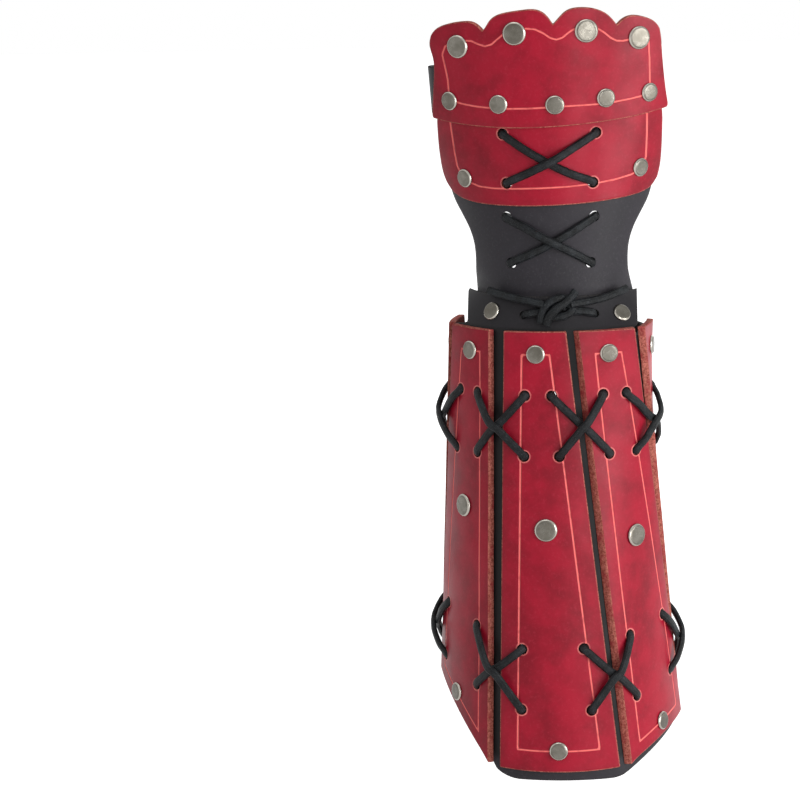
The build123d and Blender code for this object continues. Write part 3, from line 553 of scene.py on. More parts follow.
class Nodes:
    """A tree of shader nodes being written, one node to a call."""

    def __init__(self, owner):
        owner.use_nodes = True
        self.tree = owner.node_tree

    def put(self, socket, value):
        """A link where the value is a socket, or else the value itself."""
        if isinstance(value, bpy.types.NodeSocket):
            self.tree.links.new(value, socket)
        else:
            socket.default_value = value

    def add(self, kind, inputs=None, **settings):
        """A node with its settings and inputs."""
        node = self.tree.nodes.new("ShaderNode" + kind)
        for key, value in settings.items():
            setattr(node, key, value)
        for key, value in (inputs or {}).items():
            self.put(node.inputs[key], value)
        return node

    def maths(self, operation, first, second=0.0, third=0.0):
        """The result of one sum."""
        return self.add("Math", {0: first, 1: second, 2: third}, operation=operation).outputs[0]

    def times(self, first, second, more=None):
        """The first times the second, and more added to that if given."""
        if more is None:
            return self.maths("MULTIPLY", first, second)
        return self.maths("MULTIPLY_ADD", first, second, more)

    def seen_share(self):
        """A share of 1 for rays from the camera, and from glossy and clear surfaces."""
        path = self.add("LightPath").outputs
        mirrored = self.maths("MAXIMUM", path["Is Camera Ray"], path["Is Glossy Ray"])
        return self.maths("MAXIMUM", mirrored, path["Is Transmission Ray"])


class Recipe(Nodes):
    """A material being written."""

    def __init__(self, name):
        self.material = bpy.data.materials.new(name)
        super().__init__(self.material)
        self.shader = self.tree.nodes["Principled BSDF"]
        self.place = self.add("TexCoord").outputs["Object"]

    def fade(self, value, start, end, low=0.0, high=1.0):
        """A smooth change from low to high as the value goes from start to end."""
        return self.add("MapRange", {0: value, 1: start, 2: end, 3: low, 4: high},
                        interpolation_type="SMOOTHSTEP").outputs[0]

    def mix(self, share, first, second):
        """Two colours mixed by a share."""
        return self.add("Mix", {0: share, 6: first, 7: second}, data_type="RGBA").outputs[2]

    def grain(self, scale, detail=2.0, roughness=0.5, distortion=0.0):
        """Noise of a scale given in cells to the metre."""
        return self.add("TexNoise", {"Vector": self.place, "Scale": scale, "Detail": detail,
                                     "Roughness": roughness, "Distortion": distortion}).outputs[0]

    def cells(self, scale):
        """Distances in a pattern of cells."""
        return self.add("TexVoronoi", {"Vector": self.place, "Scale": scale}).outputs["Distance"]

    def uv(self, name):
        """The two values of a UV map."""
        return self.add("SeparateXYZ", {0: self.add("UVMap", uv_map=name).outputs[0]}).outputs

    def bump(self, height):
        """Height in metres, as bumps."""
        self.put(self.shader.inputs["Normal"],
                 self.add("Bump", {"Height": height, "Strength": 1.0, "Distance": 1.0}).outputs[0])

    def finish(self, **inputs):
        """The shader's own sockets."""
        for key, value in inputs.items():
            words = (word[:1].upper() + word[1:] for word in key.split("_"))
            self.put(self.shader.inputs[" ".join(words)], value)
        return self.material


def toned(colour, red, green, blue):
    """A setting's colour with its channels multiplied."""
    return (colour[0] * red, colour[1] * green, colour[2] * blue, 1.0)


def skin_height(recipe, depth, fine):
    """The grain of leather: small pebbles with finer pores, and a slow unevenness."""
    pebbles = recipe.cells(fine)
    pores = recipe.grain(fine * 2.2, detail=2.0, roughness=0.6)
    waves = recipe.grain(70.0, detail=2.0)
    height = recipe.times(pores, depth * 0.55, recipe.times(pebbles, depth))
    return recipe.times(waves, depth * 4.0, height)


def red_leather():
    """Dyed and polished red leather, with scored lines and handled edges from the Marks map."""
    leather = bpy.context.scene.vambrace_leather
    recipe = Recipe("dyed_red_leather")
    score_side, edge, _ = recipe.uv("Marks")
    width = leather.score_width / MM
    broad = recipe.grain(16.0, detail=3.0, roughness=0.55, distortion=0.4)
    mottle = recipe.grain(95.0, detail=4.0, roughness=0.6)
    fibre = recipe.grain(620.0, detail=3.0, roughness=0.7)
    taken = recipe.times(broad, 0.55, recipe.times(mottle, 0.45))
    colour = recipe.mix(recipe.fade(taken, 0.36, 0.62), tuple(leather.deep_red), tuple(leather.red))
    colour = recipe.mix(recipe.times(recipe.fade(fibre, 0.5, 0.75), 0.22), colour, RED_FLECKS)
    near_edge = recipe.fade(edge, 0.0, 4.5, 1.0, 0.0)
    colour = recipe.mix(recipe.times(near_edge, 0.30), colour, RED_HANDLED)
    edge_band = recipe.times(recipe.fade(edge, 0.15, 0.75, 1.0, 0.0), recipe.fade(mottle, 0.36, 0.6))
    colour = recipe.mix(recipe.times(edge_band, 0.75), colour, RED_RUBBED)
    line = recipe.fade(recipe.maths("ABSOLUTE", score_side), width * 0.28, width * 0.72, 1.0, 0.0)
    bared = recipe.times(line, recipe.fade(recipe.grain(240.0, detail=2.0), 0.25, 0.5, 0.62, 1.0))
    colour = recipe.mix(bared, colour, tuple(leather.score))
    ring = recipe.fade(recipe.uv("Rings")[0], 0.35, 0.95, 1.0, 0.0)
    ring = recipe.times(ring, recipe.fade(mottle, 0.3, 0.62, 0.15, 0.85))
    colour = recipe.mix(ring, colour, RED_PUNCHED)
    recipe.bump(recipe.times(line, -SCORE_DEPTH, skin_height(recipe, RED_GRAIN, 1500.0)))
    shine = recipe.fade(recipe.grain(60.0, detail=3.0), 0.3, 0.7, 0.31, 0.42)
    shine = recipe.times(line, 0.25, shine)
    return recipe.finish(base_color=colour, roughness=shine, specular_IOR_level=0.17)


def raw_edge():
    """The cut edge of red leather: fibres that took little dye."""
    leather = bpy.context.scene.vambrace_leather
    recipe = Recipe("raw_red_edge")
    fibre = recipe.grain(900.0, detail=4.0, roughness=0.7, distortion=0.6)
    patches = recipe.grain(160.0, detail=3.0, roughness=0.6)
    colour = recipe.mix(recipe.fade(fibre, 0.35, 0.65), RED_PITH, tuple(leather.raw_edge))
    colour = recipe.mix(recipe.fade(patches, 0.5, 0.68, 0.0, 0.7), colour, RED_SOAKED)
    recipe.bump(recipe.times(fibre, RED_FIBRE))
    return recipe.finish(base_color=colour, roughness=0.82, specular_IOR_level=0.15)


def flesh(name, tints):
    """The napped inner side of leather."""
    recipe = Recipe(name)
    nap = recipe.grain(1100.0, detail=4.0, roughness=0.75, distortion=0.8)
    clouds = recipe.grain(60.0, detail=3.0)
    colour = recipe.mix(recipe.times(nap, 0.6, recipe.times(clouds, 0.5)), *tints)
    recipe.bump(recipe.times(nap, BLACK_FIBRE))
    return recipe.finish(base_color=colour, roughness=0.9, specular_IOR_level=0.12)


def black_leather():
    """Black grained leather with a low polish, and edges rubbed grey that also carry a painted highlight."""
    leather = bpy.context.scene.vambrace_leather
    recipe = Recipe("grained_black_leather")
    unshaded, edge, _ = recipe.uv("Marks")
    clouds = recipe.grain(22.0, detail=4.0, roughness=0.6, distortion=0.5)
    fibre = recipe.grain(700.0, detail=3.0, roughness=0.7)
    colour = recipe.mix(recipe.fade(clouds, 0.3, 0.7), toned(leather.black, 0.72, 0.72, 0.74),
                        toned(leather.black, 1.22, 1.2, 1.22))
    colour = recipe.mix(recipe.fade(fibre, 0.5, 0.8, 0.0, 0.25), colour, BLACK_FLECKS)
    # A grey band along the edges: rubbed wear, and a painted edge highlight
    edge_band = recipe.times(recipe.fade(edge, 0.1, 0.7, 1.0, 0.0), recipe.fade(clouds, 0.3, 0.6, 0.35, 0.8))
    colour = recipe.mix(edge_band, colour, BLACK_WEAR_AND_HIGHLIGHT)
    # Painted shade where the splints cover the backing; the band takes part of the same dark colour
    colour = recipe.mix(recipe.fade(unshaded, FULL_PAINTED_SHADE, NO_PAINTED_SHADE), BLACK_PAINTED_SHADE, colour)
    recipe.bump(skin_height(recipe, BLACK_GRAIN, 1250.0))
    return recipe.finish(base_color=colour, roughness=recipe.fade(clouds, 0.3, 0.7, 0.46, 0.58),
                         specular_IOR_level=0.2)


def black_edge():
    """The cut edge of black leather."""
    recipe = Recipe("black_cut_edge")
    fibre = recipe.grain(850.0, detail=4.0, roughness=0.7, distortion=0.5)
    colour = recipe.mix(recipe.fade(fibre, 0.35, 0.7), *BLACK_PITH)
    recipe.bump(recipe.times(fibre, BLACK_FIBRE))
    return recipe.finish(base_color=colour, roughness=0.85, specular_IOR_level=0.12)


def lace_fibre():
    """Waxed black lace: ridges along it and a fine weave, from its own map."""
    lace = bpy.context.scene.vambrace_lace
    recipe = Recipe("waxed_lace")
    along, around, _ = recipe.uv("Span")
    ridges = recipe.maths("SINE", recipe.times(around, 2 * pi * RIDGES))
    weave, counter = (recipe.maths("SINE", recipe.times(along, 2 * pi / YARN_PITCH,
                                                        recipe.times(around, 2 * pi * yarns)))
                      for yarns in (YARNS, -YARNS))
    knit = recipe.times(weave, counter)
    fuzz = recipe.grain(1900.0, detail=4.0, roughness=0.75)
    rubs = recipe.grain(190.0, detail=3.0, roughness=0.6)
    colour = recipe.mix(recipe.fade(rubs, 0.38, 0.68), toned(lace.colour, 0.5, 0.5, 0.5),
                        toned(lace.colour, 2.0, 2.0, 2.0))
    colour = recipe.mix(recipe.fade(fuzz, 0.5, 0.72, 0.0, 0.35), colour, LACE_FUZZ)
    recipe.bump(recipe.times(fuzz, FUZZ, recipe.times(knit, KNIT, recipe.times(ridges, RIDGE))))
    return recipe.finish(base_color=colour, roughness=0.42, specular_IOR_level=0.14)


def nickel(name, rimmed):
    """Antiqued metal: finely pitted, with the rims of the caps lighter, both as rubbed bright metal and as a
    painted highlight.
    """
    metal = bpy.context.scene.vambrace_metal
    recipe = Recipe(name)
    brushed = recipe.grain(2600.0, detail=3.0, roughness=0.6)
    film = recipe.grain(260.0, detail=4.0, roughness=0.65, distortion=0.4)
    broad = recipe.grain(60.0, detail=2.0)
    shade = recipe.times(film, 0.5, recipe.times(broad, 0.5))
    colour = recipe.mix(recipe.fade(shade, 0.34, 0.68), tuple(metal.patina), tuple(metal.nickel))
    rough = recipe.fade(film, 0.3, 0.7, 0.33, 0.25)
    if rimmed:
        # Lighter rim round each cap: rubbed wear and a painted highlight
        rim = recipe.fade(recipe.uv("Disc")[0], 0.84, 0.90)
        colour = recipe.mix(recipe.times(rim, 0.85), colour, tuple(metal.rim))
        rough = recipe.times(rim, -0.10, rough)
    recipe.bump(recipe.times(film, PITTING, recipe.times(brushed, BRUSHING)))
    return recipe.finish(base_color=colour, metallic=0.95, roughness=rough)


def pale_floor():
    """A pale floor that glows a little where the camera sees it, and more further away."""
    recipe = Recipe("pale_floor")
    away = recipe.add("VectorMath", {0: recipe.place}, operation="LENGTH").outputs["Value"]
    level = recipe.add("MapRange", {0: away, 1: 0.35, 2: 1.2, 3: 0.62, 4: 1.0}).outputs[0]
    return recipe.finish(base_color=FLOOR_GREY, roughness=0.9, emission_color=WHITE,
                         emission_strength=recipe.times(recipe.seen_share(), level))


MAKERS = {"dyed_red_leather": red_leather, "raw_red_edge": raw_edge, "grained_black_leather": black_leather,
          "black_cut_edge": black_edge, "waxed_lace": lace_fibre, "pale_floor": pale_floor,
          "pitted_nickel": lambda: nickel("pitted_nickel", True),
          "plain_nickel": lambda: nickel("plain_nickel", False),
          "red_flesh": lambda: flesh("red_flesh", RED_NAP),
          "black_flesh": lambda: flesh("black_flesh", BLACK_NAP)}


def finish_named(name):
    """A material, made the first time that it is asked for."""
    return bpy.data.materials.get(name) or MAKERS[name]()


RED_FACES = ("dyed_red_leather", "red_flesh", "raw_red_edge")
BLACK_FACES = ("grained_black_leather", "black_flesh", "black_cut_edge")


def deselect():
    """Nothing selected, as every piece starts."""
    bpy.ops.object.select_all(action="DESELECT")


def take(piece):
    """Only this piece selected and active."""
    deselect()
    piece.select_set(True)
    bpy.context.view_layer.objects.active = piece


def modifier(piece, kind, **settings):
    """A modifier added with its settings and applied."""
    take(piece)
    bpy.ops.object.modifier_add(type=kind)
    stage = piece.modifiers[-1]
    for key, value in settings.items():
        setattr(stage, key, value)
    bpy.ops.object.modifier_apply(modifier=stage.name)


def waver(point, size, reach):
    """A slow unevenness of hand-cut leather, in millimetres."""
    return reach * noise.noise(point / size)


def sheet_grid(name, columns, rows):
    """A grid with a line of points for each column and row, and each vertex's own column and row."""
    deselect()
    bpy.ops.mesh.primitive_grid_add(x_subdivisions=len(columns) - 1, y_subdivisions=len(rows) - 1, size=1.0)
    piece = bpy.context.object
    piece.name = piece.data.name = name
    vertices = piece.data.vertices
    across, along = (sorted({round(vertex.co[axis], 5) for vertex in vertices}) for axis in (0, 1))
    if len(across) != len(columns) or len(along) != len(rows):
        raise RuntimeError(f"the grid of {name} has {len(across)} by {len(along)} points")
    return piece, [(columns[across.index(round(vertex.co.x, 5))], rows[along.index(round(vertex.co.y, 5))])
                   for vertex in vertices]


def sheet_piece(name, columns, rows, place, marks, thickness, finishes, holes=(), chart=None):
    """A sheet of leather: a grid laid over its outline, thickened inwards, rounded and punched.

    place gives a vertex in millimetres from its column and row, marks its scored-line distance (on black
    leather, how clear it is of the painted shade instead) and its edge distance, and chart its place on the
    flat sheet."""
    piece, keys = sheet_grid(name, columns, rows)
    mesh = piece.data
    for finish in finishes:
        mesh.materials.append(finish_named(finish))
    values = [marks(column, row) for column, row in keys]
    for vertex, (column, row) in zip(mesh.vertices, keys):
        vertex.co = place(column, row) * MM
    mesh.uv_layers.active.name = "Span"
    layer = mesh.uv_layers.new(name="Marks")
    for loop in mesh.loops:
        layer.data[loop.index].uv = values[loop.vertex_index]
        if chart:
            mesh.uv_layers["Span"].data[loop.index].uv = chart(*keys[loop.vertex_index])
    take(piece)
    bpy.ops.object.mode_set(mode="EDIT")
    bpy.ops.mesh.select_all(action="SELECT")
    bpy.ops.mesh.remove_doubles(threshold=SAME_POINT)
    bpy.ops.object.mode_set(mode="OBJECT")
    modifier(piece, "SOLIDIFY", thickness=thickness * MM, offset=-1.0, use_even_offset=True,
             material_offset=1, material_offset_rim=2)
    modifier(piece, "BEVEL", width=bpy.context.scene.vambrace_leather.edge_round, segments=2,
             limit_method="ANGLE", angle_limit=radians(EDGE_ANGLE), use_clamp_overlap=False, material=2)
    if holes:
        punch(piece, holes)
    if finishes == RED_FACES:
        ring_map(piece, holes)
    return piece


def punch(piece, holes):
    """Round holes along the given seats, each with its radius in millimetres, cut by one boolean."""
    cutters = []
    for seat, radius in holes:
        deselect()
        turn = seat.out.to_track_quat("Z", "Y").to_euler()
        bpy.ops.mesh.primitive_cylinder_add(vertices=PUNCH_SIDES, radius=radius * MM, depth=PUNCH_LENGTH * MM,
                                            location=seat.point * MM, rotation=turn)
        cutters.append(bpy.context.object)
    deselect()
    for cutter in cutters:
        cutter.select_set(True)
    tool = bpy.context.view_layer.objects.active = cutters[0]
    bpy.ops.object.join()
    while tool.data.uv_layers:
        tool.data.uv_layers.remove(tool.data.uv_layers[0])
    for finish in piece.data.materials:
        tool.data.materials.append(finish)
    for polygon in tool.data.polygons:
        polygon.material_index = len(piece.data.materials) - 1
    modifier(piece, "BOOLEAN", operation="DIFFERENCE", object=tool, solver="EXACT", material_mode="INDEX")
    bpy.data.objects.remove(tool)


def ring_map(piece, holes):
    """A map of each point's distance from the nearest hole's edge, for the rings that punching left."""
    away = []
    for vertex in piece.data.vertices:
        near = NO_RING
        for seat, radius in holes:
            reach = vertex.co - seat.point * MM
            near = min(near, (reach - seat.out * reach.dot(seat.out)).length / MM - radius)
        away.append(near)
    ring = piece.data.uv_layers.new(name="Rings")
    for loop in piece.data.loops:
        ring.data[loop.index].uv = (away[loop.vertex_index], 0.0)


def smooth(piece, angle=LEATHER_CREASE):
    """Smooth shading that keeps the sharp edges."""
    take(piece)
    bpy.ops.object.shade_smooth_by_angle(angle=radians(angle))


def written(work, name, finish, angle):
    """A piece from the faces being written, with its finish."""
    bmesh.ops.recalc_face_normals(work, faces=work.faces)
    mesh = bpy.data.meshes.new(name)
    work.to_mesh(mesh)
    work.free()
    piece = bpy.data.objects.new(name, mesh)
    bpy.context.scene.collection.objects.link(piece)
    mesh.materials.append(finish_named(finish))
    smooth(piece, angle)
    return piece


def side_of(outline, x, z):
    """The signed distance to a closed outline, positive inside it."""
    inside, least = False, float("inf")
    for (ax, az), (bx, bz) in zip(outline, outline[1:] + outline[:1]):
        dx, dz = bx - ax, bz - az
        share = clamped(((x - ax) * dx + (z - az) * dz) / (dx * dx + dz * dz))
        least = min(least, (x - ax - share * dx) ** 2 + (z - az - share * dz) ** 2)
        if (az > z) != (bz > z) and x < ax + (z - az) / (bz - az) * (bx - ax):
            inside = not inside
    return sqrt(least) * (1 if inside else -1)


class Patch:
    """A four-sided outline in the front view, filled between its foot, top, left and right sides."""

    def __init__(self, foot, top, left, right):
        self.sides = [self.measured(side) for side in (foot, top, left, right)]

    def measured(self, points):
        """A side's points with their shares of its length."""
        runs = [0.0]
        for (ax, az), (bx, bz) in zip(points, points[1:]):
            runs.append(runs[-1] + sqrt((bx - ax) ** 2 + (bz - az) ** 2))
        return [(run / runs[-1], point) for run, point in zip(runs, points)]

    def along(self, side, share):
        """The point at a share of a side's length."""
        for (start, low), (end, high) in zip(side, side[1:]):
            if share <= end:
                break
        return Vector(low).lerp(Vector(high), clamped((share - start) / (end - start)))

    def at(self, across, up):
        """The point at shares across and up the outline."""
        foot, top, left, right = self.sides
        low, high = self.along(foot, across), self.along(top, across)
        start, end = self.along(left, up), self.along(right, up)
        corners = (self.along(foot, 0.0).lerp(self.along(foot, 1.0), across)
                   .lerp(self.along(top, 0.0).lerp(self.along(top, 1.0), across), up))
        return low.lerp(high, up) + start.lerp(end, across) - corners

    def outline(self):
        """The closed line round the patch."""
        foot, top, left, right = ([point for _, point in side] for side in self.sides)
        return foot[:-1] + right[:-1] + top[::-1][:-1] + left[::-1][:-1]


def softened(points, times=2):
    """A line with its inner corners cut off, again and again, and its ends kept."""
    for _ in range(times):
        line = [points[0]]
        for (ax, az), (bx, bz) in zip(points, points[1:]):
            line += [(ax * (1 - share) + bx * share, az * (1 - share) + bz * share) for share in (0.25, 0.75)]
        points = line + [points[-1]]
    return points


def sweep_lace(name, stops, closed=True):
    """A lace on a smooth line through its stops, each a point and the way that its outer face looks."""
    lace = bpy.context.scene.vambrace_lace
    count = len(stops)
    path = []
    for index in range(count if closed else count - 1):
        around = [index + step for step in (-1, 0, 1, 2)]
        near = [stops[at % count if closed else clamped(at, 0, count - 1)] for at in around]
        a, b, c, d = (stop[0] for stop in near)
        steps = clamped(round((c - b).length / LACE_STEP), *LACE_STEPS)
        for step in range(steps):
            share = step / steps
            point = 0.5 * (2 * b + (c - a) * share + (2 * a - 5 * b + 4 * c - d) * share**2
                           + (3 * b - a - 3 * c + d) * share**3)
            path.append((point, near[1][1].lerp(near[2][1], share)))
    if not closed:
        path.append(stops[-1])
    return lace_mesh(name, path, lace.width / 2, lace.thickness / 2, closed)


def lace_mesh(name, path, half_width, half_height, closed):
    """The flattened tube of a lace round its path, with a map along and around it."""
    work = bmesh.new()
    layer = work.loops.layers.uv.new("Span")
    rings, runs, run = [], [], 0.0
    for index, (point, face) in enumerate(path):
        last = path[index - 1][0] if index or closed else point
        following = path[(index + 1) % len(path)][0] if index + 1 < len(path) or closed else point
        tangent = (following - last).normalized()
        up = (face - tangent * face.dot(tangent)).normalized()
        side = tangent.cross(up)
        ring = []
        for step in range(LACE_SIDES):
            angle = 2 * pi * step / LACE_SIDES
            wide, high = (copysign(abs(part) ** LACE_ROUND, part) for part in (cos(angle), sin(angle)))
            fray = 1 + LACE_FRAY * noise.noise(point * FRAY_SCALE + Vector((0, 0, step * FRAY_SHIFT)))
            ring.append(work.verts.new((point * MM + side * half_width * wide * fray
                                        + up * half_height * high * fray)))
        if index:
            run += (point - last).length
        rings.append(ring)
        runs.append(run)
    pairs = [(index, index + 1) for index in range(len(rings) - 1)]
    if closed:
        pairs.append((len(rings) - 1, 0))
    for first, second in pairs:
        end = runs[second] if second else runs[first] + 1.0
        for step in range(LACE_SIDES):
            after = (step + 1) % LACE_SIDES
            face = work.faces.new((rings[first][step], rings[first][after], rings[second][after],
                                   rings[second][step]))
            for loop, along, around in zip(face.loops, (runs[first], runs[first], end, end),
                                           (step, step + 1, step + 1, step)):
                loop[layer].uv = (along, around / LACE_SIDES)
    if not closed:
        for ring in (rings[0], rings[-1]):
            work.faces.new(ring)
    piece = written(work, name, "waxed_lace", LACE_CREASE)
    return piece


def crossed(name, holes, inner, outer, falling_over, rising_over, top_strand, hump=0.0):
    """A lace crossed outside and upright inside, through four holes: upper left and right, lower left and
    right. The seats that a strand passes over come with their share of the top strand's lift."""
    half = bpy.context.scene.vambrace_lace.thickness / 2 / MM
    upper_left, upper_right, lower_left, lower_right = holes
    middle, proud, deep = outer / 2, outer + half * LACE_PROUD, inner - half - INSIDE_GAP
    stops = []

    def outside(start, end, over, lift):
        ahead = (end.point - start.point).normalized()
        stops.append((start.above(middle) - ahead * LACE_LEAN, -ahead))
        stops.append((start.above(proud) + ahead * LACE_LEAVE, (start.out * LACE_TURN - ahead).normalized()))
        for seat, share in over:
            stops.append((seat.above(outer + half + LACE_REST + hump + lift * share), seat.out.copy()))
        stops.append((end.above(proud) - ahead * LACE_LEAVE, (end.out * LACE_TURN + ahead).normalized()))
        stops.append((end.above(middle) + ahead * LACE_LEAN, ahead.copy()))

    def inside(start, end):
        ahead = (end.point - start.point).normalized()
        stops.append((start.above(deep) + ahead * INSIDE_LEAVE, -start.out))
        stops.append(((start.above(deep) + end.above(deep)) / 2, -(start.out + end.out).normalized()))
        stops.append((end.above(deep) - ahead * INSIDE_LEAVE, -end.out))

    lift = 2 * half + STRAND_GAP
    outside(upper_left, lower_right, falling_over, lift if top_strand == "falling" else 0.0)
    inside(lower_right, upper_right)
    outside(upper_right, lower_left, rising_over, lift if top_strand == "rising" else 0.0)
    inside(lower_left, upper_left)
    return sweep_lace(name, stops)


def bend_with_wing(piece, side):
    """Bakes the piece's transform; the line of the seam where a wing opens is worked out, but the piece is
    not bent.
    """
    number = LEFT_HINGE if side == "left" else RIGHT_HINGE
    low, high = (Vector((*level.stretches[number].middle.out(BACKING_OUTER), level.height)) for level in CUFF)
    seat = Seat(CUFF, number, 0.0, SPLINT_TOP / 2)
    across = (high - low).normalized().cross(seat.out).normalized()
    if across.x * low.x < 0:
        across = -across
    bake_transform(piece)


class VAMBRACE_OT_splints(bpy.types.Operator):
    """Makes the five red splints with their scored panels and lace holes"""

    bl_idname = "vambrace.splints"
    bl_label = "Splints"

    def execute(self, context):
        for name in SPLINTS:
            self.splint(context, name)
        return {"FINISHED"}

    def slant(self, piece, name):
        """Cuts the long edges at a slant, by sliding the outer face inwards from each edge."""
        spans = piece.data.uv_layers["Span"].data
        seen = {}
        for loop in piece.data.loops:
            seen.setdefault(loop.vertex_index, tuple(spans[loop.index].uv))
        left_cut, right_cut = SLANTS[name]
        for index, (left, height) in seen.items():
            width = splint_width(name, height)
            seat = Seat(CUFF, SPLINTS[name], clamped(2 * left / width - 1, -1.0), height)
            vertex = piece.data.vertices[index]
            lift = clamped((vertex.co / MM - seat.point).dot(seat.out) / SPLINT)
            for distance, cut in ((left, left_cut), (width - left, -right_cut)):
                if distance < SLANT_REACH:
                    vertex.co += seat.across * (cut * lift * (1 - distance / SLANT_REACH) ** SLANT_FALL * MM)

    def splint(self, context, name):
        """One splint, shaped over its stretch of the cuff."""
        number = SPLINTS[name]
        inset = context.scene.vambrace_leather.score_inset / MM
        left_foot, right_foot = FOOT_HEIGHTS[name]
        steepness = sqrt(1 + ((right_foot - left_foot) / splint_width(name, 0.0)) ** 2)
        foot_score = (BOTTOM_RIVETS[name] - splint_foot(name, 0.0)) / steepness
        low_trim, high_trim = LEFT_INNER_TRIMS if name == "left_inner" else (0.0, 0.0)

        def spread(share, way):
            """Distances from the left edge and the untrimmed right one, its trim, and the height."""
            height = splint_foot(name, share) + way * (SPLINT_TOP - splint_foot(name, share))
            width = splint_width(name, height)
            trim = low_trim + (high_trim - low_trim) * height / SPLINT_TOP
            left = (1 + share) / 2 * (width - trim)
            return left, width - left, trim, height

        def chart(share, way):
            left, _, _, height = spread(share, way)
            return left, height

        def place(share, way):
            left, right, _, height = spread(share, way)
            share = (left - right) / (left + right)
            point = on(CUFF, number, share, height, SPLINT)
            return point + Seat(CUFF, number, share, height).out * waver(point, *SPLINT_WAVER)

        def marks(share, way):
            left, right, trim, height = spread(share, way)
            from_foot = (height - splint_foot(name, share)) / steepness
            return (min(left - inset, right - inset, TOP_RIVET - height, from_foot - foot_score),
                    min(left, right - trim, from_foot, SPLINT_TOP - height))

        columns, rows = SPLINT_GRID
        holes = [(seat, LACE_HOLE / 2) for seat in hole_seats(name)]
        piece = sheet_piece(f"dressed_splint_{name}", shares(columns), parts(rows), place, marks, SPLINT,
                            RED_FACES, holes, chart)
        self.slant(piece, name)
        smooth(piece)
        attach(piece, {"left_outer": "left_wing", "right_outer": "right_wing"}.get(name, "cuff"))
        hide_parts(f"splint_{name}")


def tongue_foot(x):
    """The height of the tongue's outline in the front view."""
    corner, slope = TONGUE_LEFT if x < 0 else TONGUE_RIGHT
    turn = atan2(slope, 1.0)
    reach = TONGUE_ROUND * tan(turn / 2)
    away = abs(x) - corner
    if away <= -reach:
        return TONGUE_FOOT
    if away >= reach * cos(turn):
        return TONGUE_FOOT + slope * away
    return TONGUE_FOOT + TONGUE_ROUND - sqrt(max(TONGUE_ROUND**2 - (away + reach) ** 2, 0.0))


def grid_columns(numbers):
    """Columns of the backing's grid over neighbouring stretches, each a stretch and a share of it."""
    columns = [(number, 2 * cell / CELLS[number] - 1) for number in numbers for cell in range(CELLS[number])]
    return columns + [(numbers[-1], 1.0)]


def settled(height, following):
    """Where a foot comes to rest whose height follows from its place, and its place from its height."""
    for _ in range(SETTLINGS):
        height = following(height)
    return height


